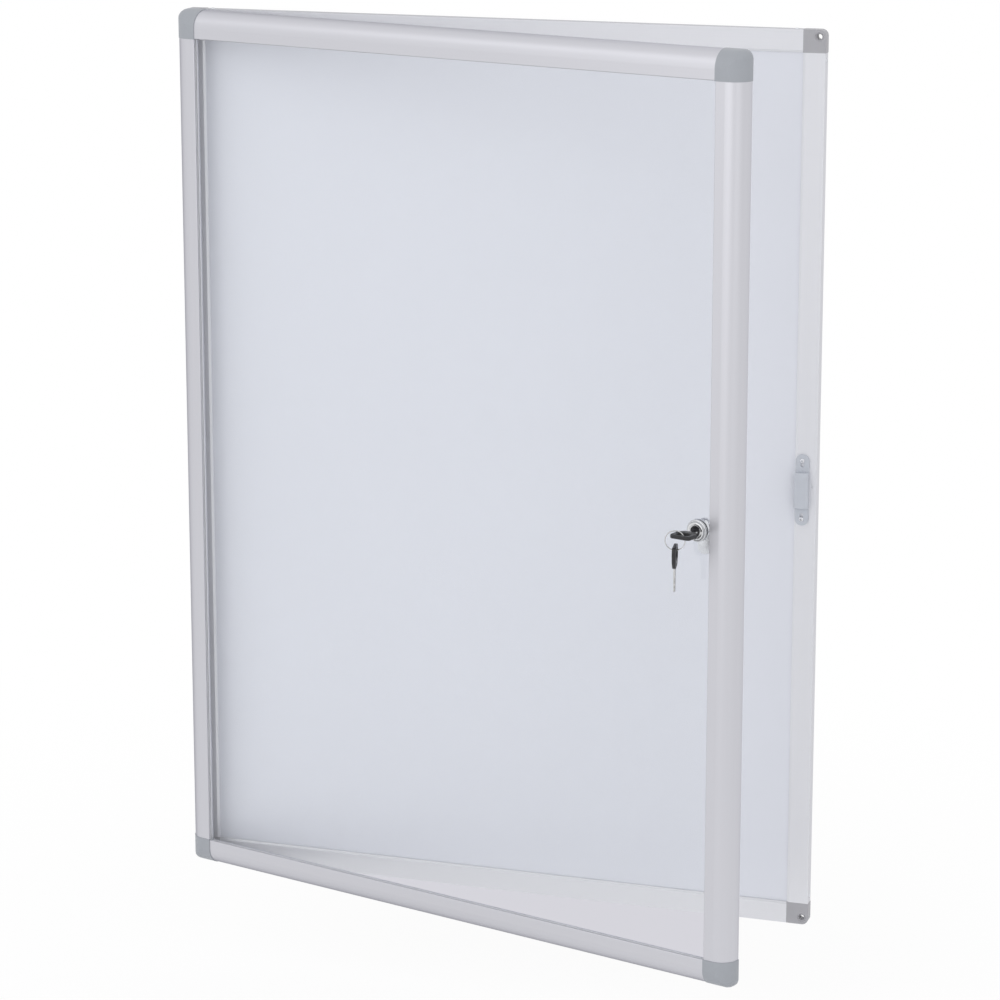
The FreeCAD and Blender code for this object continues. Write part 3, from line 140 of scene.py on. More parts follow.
class Painter:
    """Builds the nodes of one material or of the world."""

    def __init__(self, name: str, world: bool = False) -> None:
        """Starts with an empty tree.

        Args:
            name: the material's or world's name.
            world: whether this is the world instead of a material.
        """
        self.owner = (bpy.data.worlds if world else bpy.data.materials).new(name)
        self.owner.use_nodes = True
        self.tree = self.owner.node_tree
        self.tree.nodes.clear()
        self.output = self.node("ShaderNodeOutputWorld" if world else "ShaderNodeOutputMaterial")

    def node(
        self,
        kind: str,
        settings: dict[str, Any] | None = None,
        values: dict[Any, Any] | Sequence[Any] = (),
    ) -> bpy.types.Node:
        """Adds any node.

        Args:
            kind: the node's type.
            settings: the node's own properties, set first.
            values: numbers, colours, fields or sockets for its inputs, by name or in order.

        Returns:
            The new node.
        """
        made = self.tree.nodes.new(kind)
        for name, value in (settings or {}).items():
            setattr(made, name, value)
        pairs = values.items() if isinstance(values, dict) else enumerate(values)
        for key, value in pairs:
            socket = made.inputs[key]
            if isinstance(value, Field):
                self.tree.links.new(value.socket, socket)
            elif isinstance(value, bpy.types.NodeSocket):
                self.tree.links.new(value, socket)
            else:
                socket.default_value = value
        return made

    def here(self) -> bpy.types.NodeSocket:
        """The place on the piece, at rest, in metres."""
        return self.node("ShaderNodeTexCoord").outputs["Object"]

    def dot(self, vector: bpy.types.NodeSocket, way: Sequence[float]) -> Field:
        """How far a vector reaches along a direction."""
        node = self.node("ShaderNodeVectorMath", {"operation": "DOT_PRODUCT"}, [vector, way])
        return Field(self, node.outputs["Value"])

    def noise(self, shape: "Noise", along: "Along | None" = None) -> Field:
        """Cloudy noise from 0 to 1.

        Args:
            shape: its scale and layers.
            along: the direction that it is drawn out in, by the shape's stretch.

        Returns:
            The noise as a field.
        """
        spot = self.here()
        if along:
            reach = (1 / shape.stretch, 1.0, 1.0)
            parts = [self.dot(spot, axis) * scale for axis, scale in zip(along.axes(), reach)]
            spot = self.node("ShaderNodeCombineXYZ", {}, parts).outputs[0]
        values = {"Vector": spot, "Scale": shape.scale, "Detail": shape.detail}
        values["Roughness"] = shape.rough
        return Field(self, self.node("ShaderNodeTexNoise", {}, values).outputs[0])

    def along(self, way: Vector, start: Vector) -> Field:
        """Distance from a point along a direction, in metres."""
        return self.dot(self.here(), way) - way.dot(start)

    def ray(self, name: str) -> Field:
        """One of the light path's answers about the ray that looks at the surface."""
        return Field(self, self.node("ShaderNodeLightPath").outputs[name])

    def cells(self, scale: float) -> Field:
        """Distance to the nearest of many scattered points, for a leathery moulded grain."""
        values = {"Vector": self.here(), "Scale": scale}
        return Field(self, self.node("ShaderNodeTexVoronoi", {}, values).outputs["Distance"])

    def facing_up(self) -> Field:
        """How far the surface faces up: 1 on top, 0 upright and -1 below."""
        return self.dot(self.node("ShaderNodeNewGeometry").outputs["Normal"], (0, 0, 1))

    def blend(self, share: Field, first: Colour, second: Colour) -> bpy.types.NodeSocket:
        """Mixes two colours, each three numbers or another node's output.

        Args:
            share: how much of the second there is.
            first: the colour at 0.
            second: the colour at 1.

        Returns:
            The mixed colour.
        """
        values: dict[Any, Any] = {"Factor": share}
        for number, colour in zip(MIX_COLOURS, (first, second)):
            values[number] = (*colour, 1) if isinstance(colour, tuple) else colour
        return self.node("ShaderNodeMix", {"data_type": "RGBA"}, values).outputs[MIX_RESULT]

    def bump(self, height: Field, depth: float, strength: float) -> bpy.types.NodeSocket:
        """A Bump node on a height field, with its depth in metres."""
        values = {"Height": height, "Distance": depth, "Strength": strength}
        return self.node("ShaderNodeBump", {}, values).outputs[0]

    def surface(self, shader: bpy.types.Node) -> Union[bpy.types.Material, bpy.types.World]:
        """Joins a shader to the output and gives the finished material or world."""
        self.tree.links.new(shader.outputs[0], self.output.inputs["Surface"])
        return self.owner

    def principled(self, values: dict[str, Any]) -> bpy.types.Material:
        """Makes the material from a Principled shader with these inputs."""
        return self.surface(self.node("ShaderNodeBsdfPrincipled", {}, values))


class Along(Enum):
    """The way that a rail runs, at rest."""

    UP = (0.0, 0.0, 1.0)
    ACROSS = (1.0, 0.0, 0.0)
    ACROSS_DOOR = (math.cos(DOOR_OPEN), -math.sin(DOOR_OPEN), 0.0)

    def axes(self) -> list[Vector]:
        """Works out the way's own axes.

        Returns:
            The way itself and two directions across it.
        """
        first = Vector(self.value)
        second = first.cross(Vector((0, 1, 0))).normalized()
        return [first, second, first.cross(second)]


@dataclass(frozen=True)
class Noise:
    """A cloudy pattern.

    Its fields are how many features it has per metre, the number of finer layers on them, how strong
    these are, and how many times it is drawn out along a rail or sheet.
    """

    scale: float
    detail: float = 3
    rough: float = 0.55
    stretch: float = 1


# Finishes
#
# In every finish a name with range says where in a pattern's values it fades in, and one with rough
# how much it adds to the roughness. Uneven is how far the shades lie from the colour, and relief and
# strength are how deep and how strong the bump is.


def shades(base: Triple, amount: float) -> tuple[Triple, Triple]:
    """Makes a darker and a lighter version of a colour.

    Args:
        base: the colour.
        amount: how far each is from it, as a share.

    Returns:
        The darker and the lighter colour.
    """
    dark = tuple(c * (1 - amount) for c in base)
    light = tuple(min(1.0, c * (1 + amount)) for c in base)
    return dark, light


@dataclass(frozen=True)
class AnodisedAluminium:
    """Satin extruded aluminium with faint die lines along the rail."""

    along: Along
    name: str = "satin_aluminium"
    base: Triple = (0.63, 0.63, 0.672)
    # edge darkens what the rails mirror at a slant far more than aluminium does: painted shade that
    # stands in for darker surroundings reflected at their rounded edges.
    edge: Triple = (0.42, 0.42, 0.45)
    roughness: float = 0.39
    metal: float = 1.0
    # painted_ledge_shade is painted shade: a darker colour for faces that look up, which tones down the
    # highlight that the lamps put there. ledge is where it fades in, by how far they face up.
    painted_ledge_shade: Triple | None = None
    ledge: Pair = (0.2, 0.6)
    die_lines: Noise = Noise(900, 4, 0.6, 300)
    hair_lines: Noise = Noise(4200, 2, 0.5, 120)
    clouds: Noise = Noise(14, 3, 0.6, 4)
    specks: Noise = Noise(5200, 2)
    speck_range: Pair = (0.66, 0.8)
    line_rough: float = 0.03
    cloud_rough: float = 0.04
    speck_rough: float = 0.08
    uneven: float = 0.035
    relief: float = 0.012 * MM
    strength: float = 0.5

    def material(self) -> bpy.types.Material:
        """Makes the finish, with painted shade on what faces up where its colour is given.

        Returns:
            The material.
        """
        paint = Painter("%s_%s" % (self.name, self.along.name.lower()))
        lines = paint.noise(self.die_lines, self.along)
        fine = paint.noise(self.hair_lines, self.along)
        clouds = paint.noise(self.clouds, self.along)
        specks = paint.noise(self.specks).ramp(*self.speck_range)
        rough = clouds.span(-self.cloud_rough, self.cloud_rough)
        rough = rough + lines.span(-self.line_rough, self.line_rough)
        rough = rough + specks * self.speck_rough + self.roughness
        colour = paint.blend(lines * 0.6 + clouds * 0.4, *shades(self.base, self.uneven))
        # Painted shade: faces that look up are darkened towards this colour, against the lamps'
        # highlight on them.
        if self.painted_ledge_shade:
            colour = paint.blend(paint.facing_up().ramp(*self.ledge), colour, self.painted_ledge_shade)
        return paint.principled(
            {
                "Base Color": colour,
                "Metallic": self.metal,
                "Specular Tint": (*self.edge, 1),
                "Roughness": rough,
                "Normal": paint.bump(lines * 0.7 + fine * 0.3, self.relief, self.strength),
            }
        )


@dataclass(frozen=True)
class MouldedPlastic:
    """Spark-eroded moulded plastic: fine grain, slight unevenness and rubbed patches."""

    name: str
    base: Triple
    roughness: float = 0.5
    grain: float = 2600
    relief: float = 0.03 * MM
    coat: float = 0.0
    gloss: float = 0.4
    finer: float = 1.7
    flow: Noise = Noise(45, 4)
    rubbed: Noise = Noise(160, 5, 0.7)
    rubbed_range: Pair = (0.56, 0.74)
    flow_rough: float = 0.05
    rubbed_smooth: float = 0.1
    fine_rough: float = 0.06
    uneven: float = 0.08
    strength: float = 0.45

    def material(self) -> bpy.types.Material:
        """Makes the finish.

        Returns:
            The material.
        """
        paint = Painter(self.name)
        pores = paint.cells(self.grain)
        fine = paint.noise(Noise(self.grain * self.finer))
        flow = paint.noise(self.flow)
        rubbed = paint.noise(self.rubbed).ramp(*self.rubbed_range)
        rough = flow.span(-self.flow_rough, self.flow_rough) - rubbed * self.rubbed_smooth
        return paint.principled(
            {
                "Base Color": paint.blend(flow * 0.7 + fine * 0.3, *shades(self.base, self.uneven)),
                "Roughness": rough + fine * self.fine_rough + self.roughness,
                "Specular IOR Level": self.gloss,
                "Coat Weight": self.coat,
                "Normal": paint.bump(pores * 0.6 + fine * 0.4, self.relief, self.strength),
            }
        )


@dataclass(frozen=True)
class LacqueredSteel:
    """White coil-coated sheet: smooth, with the faintest orange peel and wipe marks."""

    base: Triple = (0.716, 0.733, 0.79)
    roughness: float = 0.32
    peel: Noise = Noise(420)
    haze: Noise = Noise(7, 4)
    wipes: Noise = Noise(60, 4, 0.6, 14)
    specks: Noise = Noise(1500, 1)
    wipe_range: Pair = (0.5, 0.9)
    speck_range: Pair = (0.79, 0.83)
    wipe_rough: float = 0.08
    peel_rough: float = 0.05
    gloss: float = 0.5
    uneven: float = 0.018
    relief: float = 0.008 * MM
    strength: float = 0.4

    def material(self) -> bpy.types.Material:
        """Makes the finish.

        Returns:
            The material.
        """
        paint = Painter("white_lacquer")
        peel = paint.noise(self.peel)
        haze = paint.noise(self.haze)
        wipes = paint.noise(self.wipes, Along.ACROSS).ramp(*self.wipe_range)
        specks = paint.noise(self.specks).ramp(*self.speck_range)
        tone = haze * 0.6 + wipes * 0.2 - specks * 0.5
        return paint.principled(
            {
                "Base Color": paint.blend(tone, *shades(self.base, self.uneven)),
                "Roughness": wipes * self.wipe_rough + peel * self.peel_rough + self.roughness,
                "Specular IOR Level": self.gloss,
                "Normal": paint.bump(peel, self.relief, self.strength),
            }
        )


@dataclass(frozen=True)
class ClearAcrylic:
    """Clear sheet: it mirrors a little, more at a slant, and shows faint smears."""

    tint: Triple = (0.990, 0.993, 0.996)
    refraction: float = 1.49
    both_faces: float = 1.7
    roughness: float = 0.03
    smears: Noise = Noise(22, 5, 0.65, 3)
    smear_range: Pair = (0.45, 0.8)
    smear_gloss: float = 0.006
    smear_rough: float = 0.08

    def material(self) -> bpy.types.Material:
        """Makes the finish. Only the face that a ray meets first mirrors, for both faces.

        Returns:
            The material.
        """
        paint = Painter("clear_acrylic")
        smears = paint.noise(self.smears, Along.UP).ramp(*self.smear_range)
        fresnel = paint.node("ShaderNodeFresnel", {}, {"IOR": self.refraction})
        facing_away = paint.node("ShaderNodeNewGeometry").outputs["Backfacing"]
        passing = paint.ray("Is Shadow Ray").math("MAXIMUM", paint.ray("Is Diffuse Ray"))
        mirror = Field(paint, fresnel.outputs[0]) * (1 - Field(paint, facing_away))
        clear = paint.node("ShaderNodeBsdfTransparent", {}, {"Color": (*self.tint, 1)})
        rough = smears * self.smear_rough + self.roughness
        gloss = paint.node("ShaderNodeBsdfAnisotropic", {}, {"Roughness": rough})
        share = (mirror * self.both_faces + smears * self.smear_gloss) * (1 - passing)
        mixed = paint.node("ShaderNodeMixShader", {}, [share, clear.outputs[0], gloss.outputs[0]])
        return paint.surface(mixed)


@dataclass(frozen=True)
class PlatedMetal:
    """Plated or polished metal: chrome, zinc, nickel or stamped brass."""

    name: str
    base: Triple
    roughness: float
    brushed_rough: float = 0.05
    edge: Triple = (0.7, 0.7, 0.72)
    along: Along = Along.UP
    brushed: Noise = Noise(2500, 3, 0.6, 20)
    clouds: Noise = Noise(220, 4, 0.6)
    handled: Noise = Noise(700, 4, 0.7)
    handled_range: Pair = (0.55, 0.75)
    handled_rough: float = 0.08
    uneven: float = 0.07
    relief: float = 0.008 * MM
    strength: float = 0.35

    def material(self) -> bpy.types.Material:
        """Makes the finish.

        Returns:
            The material.
        """
        paint = Painter(self.name)
        brushed = paint.noise(self.brushed, self.along)
        clouds = paint.noise(self.clouds)
        handled = paint.noise(self.handled).ramp(*self.handled_range)
        tone = clouds * 0.6 + brushed * 0.4
        rough = brushed.span(-self.brushed_rough, self.brushed_rough) + handled * self.handled_rough
        return paint.principled(
            {
                "Base Color": paint.blend(tone, *shades(self.base, self.uneven)),
                "Metallic": 1.0,
                "Specular Tint": (*self.edge, 1),
                "Roughness": rough + self.roughness,
                "Normal": paint.bump(brushed, self.relief, self.strength),
            }
        )


@dataclass(frozen=True)
class PlugFace:
    """The lock plug: a polished rim around a smoked face, over bare metal."""

    centre: Vector
    out: Vector
    smoked_radius: float = 5.7 * MM
    rim: Triple = (0.72, 0.725, 0.74)
    smoked: Triple = (0.045, 0.045, 0.05)
    smoked_metal: float = 0.7
    edge_half: float = 0.15 * MM
    roughness: float = 0.14
    handled: Noise = Noise(900, 4, 0.7)
    handled_rough: float = 0.12
    relief: float = 0.008 * MM
    strength: float = 0.3

    def material(self) -> bpy.types.Material:
        """Makes the finish.

        Returns:
            The material.
        """
        paint = Painter("smoked_plug")
        across, up = (paint.along(way, self.centre) for way in (UP.cross(self.out), UP))
        radius = (across ** 2 + up ** 2) ** 0.5
        outside = radius.ramp(self.smoked_radius - self.edge_half, self.smoked_radius + self.edge_half)
        handled = paint.noise(self.handled)
        return paint.principled(
            {
                "Base Color": paint.blend(outside, self.smoked, self.rim),
                "Metallic": outside.span(self.smoked_metal, 1.0),
                "Roughness": handled * self.handled_rough + self.roughness,
                "Normal": paint.bump(handled, self.relief, self.strength),
            }
        )


@dataclass(frozen=True)
class SealRubber:
    """A seal in two tones: a soft grey lip in front, and behind the pane a leg painted much paler, as
    painted light against the shade that falls there.
    """

    face: Vector
    out: Vector
    lip: Triple = (0.484, 0.4895, 0.5115)
    painted_light_leg: Triple = (0.84, 0.845, 0.87)
    lip_behind: float = 5.6 * MM
    edge_half: float = 0.1 * MM
    roughness: float = 0.62
    bloom: Noise = Noise(300, 5, 0.65)
    bloom_range: Pair = (0.4, 0.8)
    bloom_rough: float = 0.2
    skin: Noise = Noise(5200)
    relief: float = 0.02 * MM
    strength: float = 0.4

    def material(self) -> bpy.types.Material:
        """Makes the finish.

        Returns:
            The material.
        """
        paint = Painter("seal_rubber")
        bloom = paint.noise(self.bloom).ramp(*self.bloom_range)
        skin = paint.noise(self.skin)
        ends = (-self.lip_behind - self.edge_half, -self.lip_behind + self.edge_half)
        front = paint.along(self.out, self.face).ramp(*ends)
        return paint.principled(
            {
                # Painted light: behind the lip the seal is painted paler, to lift it out of its shade.
                "Base Color": paint.blend(front * (0.94 - bloom * 0.06), self.painted_light_leg, self.lip),
                "Roughness": bloom * self.bloom_rough + self.roughness,
                "Normal": paint.bump(skin, self.relief, self.strength),
            }
        )


@dataclass(frozen=True)
class PressedBoard:
    """Brown hardboard: pressed fibres over a faint screen pattern."""

    base: Triple = (0.235, 0.150, 0.090)
    roughness: float = 0.72
    fibres: Noise = Noise(650, 6, 0.75)
    clumps: Noise = Noise(60, 4)
    screen: float = 700
    screen_range: Pair = (0.1, 0.6)
    fibre_rough: float = 0.15
    uneven: float = 0.35
    relief: float = 0.12 * MM
    strength: float = 0.6

    def material(self) -> bpy.types.Material:
        """Makes the finish.

        Returns:
            The material.
        """
        paint = Painter("pressed_board")
        fibres = paint.noise(self.fibres)
        clumps = paint.noise(self.clumps)
        screen = paint.cells(self.screen).ramp(*self.screen_range)
        tone = fibres * 0.7 + clumps * 0.3
        return paint.principled(
            {
                "Base Color": paint.blend(tone, *shades(self.base, self.uneven)),
                "Roughness": fibres * self.fibre_rough + self.roughness,
                "Normal": paint.bump(screen * 0.5 + fibres * 0.5, self.relief, self.strength),
            }
        )


class Finishes:
    """Every finish of the board, made once."""

    def __init__(self, lock_face: Vector, out: Vector) -> None:
        """Makes the materials.

        Args:
            lock_face: the middle of the lock plug's face.
            out: the direction that the door faces.
        """
        self.rails = {
            way: AnodisedAluminium(way).material() for way in (Along.UP, Along.ACROSS_DOOR)
        }
        # Painted light: the wall frame's rails take a paler, less metallic copy of the door's
        # aluminium, as if they caught more light, with painted shade on what faces up.
        self.painted_light_rails = {
            way: AnodisedAluminium(
                way, "painted_light_aluminium", (0.745, 0.75, 0.782), metal=0.4, painted_ledge_shade=(0.54, 0.545, 0.57)
            ).material()
            for way in (Along.UP, Along.ACROSS)
        }
        self.grey = MouldedPlastic("grey_moulding", (0.352, 0.370, 0.400), 0.48).material()
        self.warm_grey = MouldedPlastic("warm_grey_moulding", (0.398, 0.396, 0.418), 0.48).material()
        self.pale = MouldedPlastic("pale_moulding", (0.52, 0.545, 0.595), 0.5).material()
        self.black = MouldedPlastic(
            "black_moulding", (0.018, 0.018, 0.021), 0.4, 3200, 0.02 * MM, 0.1
        ).material()
        self.lacquer = LacqueredSteel().material()
        self.acrylic = ClearAcrylic().material()
        self.seal = SealRubber(lock_face, out).material()
        self.plug = PlugFace(lock_face, out).material()
        self.board = PressedBoard().material()
        self.chrome = PlatedMetal("polished_chrome", (0.70, 0.705, 0.72), 0.09, 0.02).material()
        self.satin = PlatedMetal("satin_chrome", (0.60, 0.61, 0.63), 0.24, 0.03).material()
        self.zinc = PlatedMetal("bright_zinc", (0.76, 0.77, 0.80), 0.26).material()
        self.nickel = PlatedMetal("nickel_plate", (0.58, 0.58, 0.58), 0.22).material()
        self.brass = PlatedMetal("stamped_brass", (0.72, 0.55, 0.26), 0.30).material()


def dress(material: bpy.types.Material, *nodes: str) -> None:
    """Gives carried-over CAD nodes a finish.

    Args:
        material: the finish.
        nodes: the names of the CAD nodes.
    """
    for name in nodes:
        mesh = frame["nodes"][name].data
        if not mesh.materials:
            mesh.materials.append(material)
        for index in range(len(mesh.materials)):
            mesh.materials[index] = material
        log.info("%s is dressed in %s", name, material.name)


# Meshes


def new_piece(name: str, mesh: bpy.types.Mesh, material: bpy.types.Material) -> bpy.types.Object:
    """Puts a mesh in the scene.

    Args:
        name: the piece's name.
        mesh: its mesh, in place.
        material: its one finish.

    Returns:
        The piece.
    """
    made = bpy.data.objects.new(name, mesh)
    bpy.context.scene.collection.objects.link(made)
    mesh.materials.clear()
    mesh.materials.append(material)
    return made


def settle(piece: bpy.types.Object, body: str, slot: str, *replaced: str) -> None:
    """Hangs a finished piece on a body.

    Args:
        piece: the piece, already in place.
        body: the CAD body that it moves with.
        slot: the record's material slot; not used.
        replaced: the CAD nodes that it stands for.
    """
    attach(piece, body)
    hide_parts(*replaced)
    log.info("%s rides on %s", piece.name, body)


def smooth(mesh: bpy.types.Mesh) -> None:
    """Shades a mesh smoothly, except at sharp edges.

    Args:
        mesh: the mesh, changed in place.
    """
    work = bmesh.new()
    work.from_mesh(mesh)
    for face in work.faces:
        face.smooth = True
    for edge in work.edges:
        edge.smooth = len(edge.link_faces) == 2 and edge.calc_face_angle(0.0) < SHARP
    work.to_mesh(mesh)
    work.free()


def quarter(across: float, up: float, radius: float, steps: int) -> list[Pair]:
    """Points of a quarter circle.

    Args:
        across: where its centre lies sideways.
        up: where its centre lies in height.
        radius: its radius.
        steps: how many chords it has.

    Returns:
        The points, from beside the centre to above it.
    """
    turns = [math.pi / 2 * step / steps for step in range(steps + 1)]
    return [(across + radius * math.cos(turn), up + radius * math.sin(turn)) for turn in turns]


def lathe(
    profile: Sequence[Pair], sides: int, hollow: bool = False
) -> bmesh.types.BMesh:
    """Turns a profile of radius and height about the Z axis into a closed mesh.

    Args:
        profile: points round the section, from the axis back to the axis if it isn't hollow.
        sides: facets round the axis.
        hollow: whether the profile closes on itself round a bore.

    Returns:
        The turned solid.
    """
    work = bmesh.new()
    rings = []
    for radius, height in profile:
        if not radius:
            rings.append([work.verts.new((0, 0, height))] * sides)
            continue
        ring = []
        for step in range(sides):
            turn = 2 * math.pi * step / sides
            ring.append(work.verts.new((radius * math.cos(turn), radius * math.sin(turn), height)))
        rings.append(ring)
    for low, high in zip(rings, rings[1:] + rings[:1] if hollow else rings[1:]):
        for step in range(sides):
            after = (step + 1) % sides
            corners = [low[step], low[after], high[after], high[step]]
            unique = list(dict.fromkeys(corners))
            if len(unique) > 2:
                work.faces.new(unique)
    bmesh.ops.recalc_face_normals(work, faces=work.faces)
    return work


def loft(sections: Sequence[Sequence[Vector]], closed: bool = False) -> bmesh.types.BMesh:
    """Joins sections of equal length into one closed mesh.

    Args:
        sections: the rings of points.
        closed: whether the last joins the first. Otherwise both ends are capped.

    Returns:
        The solid.
    """
    work = bmesh.new()
    rings = [[work.verts.new(point) for point in section] for section in sections]
    count = len(rings[0])
    for low, high in zip(rings, rings[1:] + rings[:1] if closed else rings[1:]):
        for step in range(count):
            after = (step + 1) % count
            work.faces.new([low[step], low[after], high[after], high[step]])
    if not closed:
        work.faces.new(list(reversed(rings[0])))
        work.faces.new(rings[-1])
    bmesh.ops.recalc_face_normals(work, faces=work.faces)
    return work


def tube(
    path: Sequence[Vector], radius: float, sides: int, closed: bool = False
) -> bmesh.types.BMesh:
    """Makes a round wire along a path.

    Args:
        path: the points of its middle line.
        radius: the wire's radius.
        sides: facets round the wire.
        closed: whether it joins up with itself. Otherwise its ends are capped.

    Returns:
        The wire.
    """
    sections = []
    count = len(path)
    for index, point in enumerate(path):
        before, after = path[max(index - 1, 0)], path[min(index + 1, count - 1)]
        if closed:
            before, after = path[index - 1], path[(index + 1) % count]
        ahead = (after - before).normalized()
        side = ahead.cross(UP).normalized()
        lift = side.cross(ahead)
        turns = [2 * math.pi * step / sides for step in range(sides)]
        ring = [(side * math.cos(turn) + lift * math.sin(turn)) * radius for turn in turns]
        sections.append([point + arm for arm in ring])
    return loft(sections, closed)


def mesh_of(name: str, work: bmesh.types.BMesh, place: Matrix | None = None) -> bpy.types.Mesh:
    """Turns working geometry into a mesh.

    Args:
        name: the mesh's name.
        work: the geometry, which is freed.
        place: where it is moved to, if anywhere.

    Returns:
        The mesh.
    """
    mesh = bpy.data.meshes.new(name)
    if place is not None:
        bmesh.ops.transform(work, matrix=place, verts=work.verts)
    work.to_mesh(mesh)
    work.free()
    smooth(mesh)
    return mesh


def carve(piece: bpy.types.Object, cutters: Sequence[bmesh.types.BMesh]) -> None:
    """Cuts closed shapes out of a piece for good.

    Args:
        piece: the piece.
        cutters: the shapes, which are freed.
    """
    for cutter in cutters:
        mesh = bpy.data.meshes.new("cutter")
        cutter.to_mesh(mesh)
        cutter.free()
        tool = bpy.data.objects.new("cutter", mesh)
        bpy.context.scene.collection.objects.link(tool)
        cut = piece.modifiers.new("cut", "BOOLEAN")
        cut.object = tool
        cut.operation = "DIFFERENCE"
        cut.solver = "EXACT"
        bpy.context.view_layer.update()
        evaluated = piece.evaluated_get(bpy.context.evaluated_depsgraph_get())
        piece.data = bpy.data.meshes.new_from_object(evaluated)
        piece.modifiers.clear()
        bpy.data.objects.remove(tool)
    smooth(piece.data)


# Sub-assemblies


@dataclass(frozen=True)
class CrossScrew:
    """A small screw with a cross recess. Its head's underside lies at z = 0.

    The fields from tip to wing_foot are shares: of the shank, of the head's radius or rise, or of the
    wings of the recess.
    """

    head: float
    rise: float
    shank: float
    length: float
    tip: float = 0.6
    brim: float = 0.35
    dome: float = 0.35
    crown: float = 0.6
    flat: float = 0.45
    wing_reach: float = 0.62
    wing_half: float = 0.16
    wing_deep: float = 0.85
    wing_taper: float = 0.3
    wing_foot: float = 0.45
    above: float = 0.3 * MM
    facets: int = 40
    dome_steps: int = 5

    def recess(self) -> list[bmesh.types.BMesh]:
        """Makes two crossed wedges, wide at the top of the head and narrow below.

        Returns:
            The wedges.
        """
        blades = []
        ends = ((self.rise * (1 - self.wing_deep), self.wing_foot), (self.rise + self.above, 1.0))
        for quarter_turns in (0, 1):
            sections = []
            for height, share in ends:
                half = self.head * self.wing_reach * share
                side = self.head * self.wing_half * (1 - self.wing_taper + self.wing_taper * share)
                corners = [(-half, -side), (half, -side), (half, side), (-half, side)]
                sections.append([Vector((x, y, height)) for x, y in corners])
            blade = loft(sections)
            turn = Matrix.Rotation(math.pi / 2 * quarter_turns, 4, "Z")
            bmesh.ops.transform(blade, matrix=turn, verts=blade.verts)
            blades.append(blade)
        return blades

    def build(self, name: str, place: Matrix, material: bpy.types.Material) -> bpy.types.Object:
        """Makes the screw.

        Args:
            name: the piece's name.
            place: where its head sits, with z out of the head.
            material: its finish.

        Returns:
            The screw.
        """
        profile = [(0, -self.length), (self.shank * self.tip, -self.length)]
        profile += [(self.shank, -self.length + self.shank), (self.shank, 0), (self.head, 0)]
        profile.append((self.head, self.rise * self.brim))
        for step in range(1, self.dome_steps):
            turn = math.pi / 2 * step / self.dome_steps
            radius = self.head * (1 - self.dome * (1 - math.cos(turn)))
            profile.append((radius, self.rise * (self.brim + self.crown * math.sin(turn))))
        profile += [(self.head * self.flat, self.rise), (0, self.rise)]
        piece = new_piece(name, mesh_of(name, lathe(profile, self.facets)), material)
        carve(piece, self.recess())
        piece.data.transform(place)
        return piece


def facing(spot: Sequence[float], out: Vector, up: Vector = UP) -> Matrix:
    """Makes a place whose z points out and whose y points up.

    Args:
        spot: where it lies.
        out: which way z points.
        up: which way y points, more or less.

    Returns:
        The place as a matrix.
    """
    ahead = out.normalized()
    side = up.cross(ahead).normalized()
    turn = Matrix((side, ahead.cross(side), ahead)).transposed().to_4x4()
    return Matrix.Translation(Vector(spot)) @ turn


def join(name: str, pieces: Sequence[bpy.types.Object]) -> bpy.types.Object:
    """Joins pieces of one finish into one object, each still a separate closed shell.

    Args:
        name: the joined piece's name.
        pieces: the pieces, which are removed.

    Returns:
        The joined piece.
    """
    work = bmesh.new()
    for piece in pieces:
        work.from_mesh(piece.data)
    material = pieces[0].data.materials[0]
    for piece in pieces:
        bpy.data.objects.remove(piece)
    return new_piece(name, mesh_of(name, work), material)


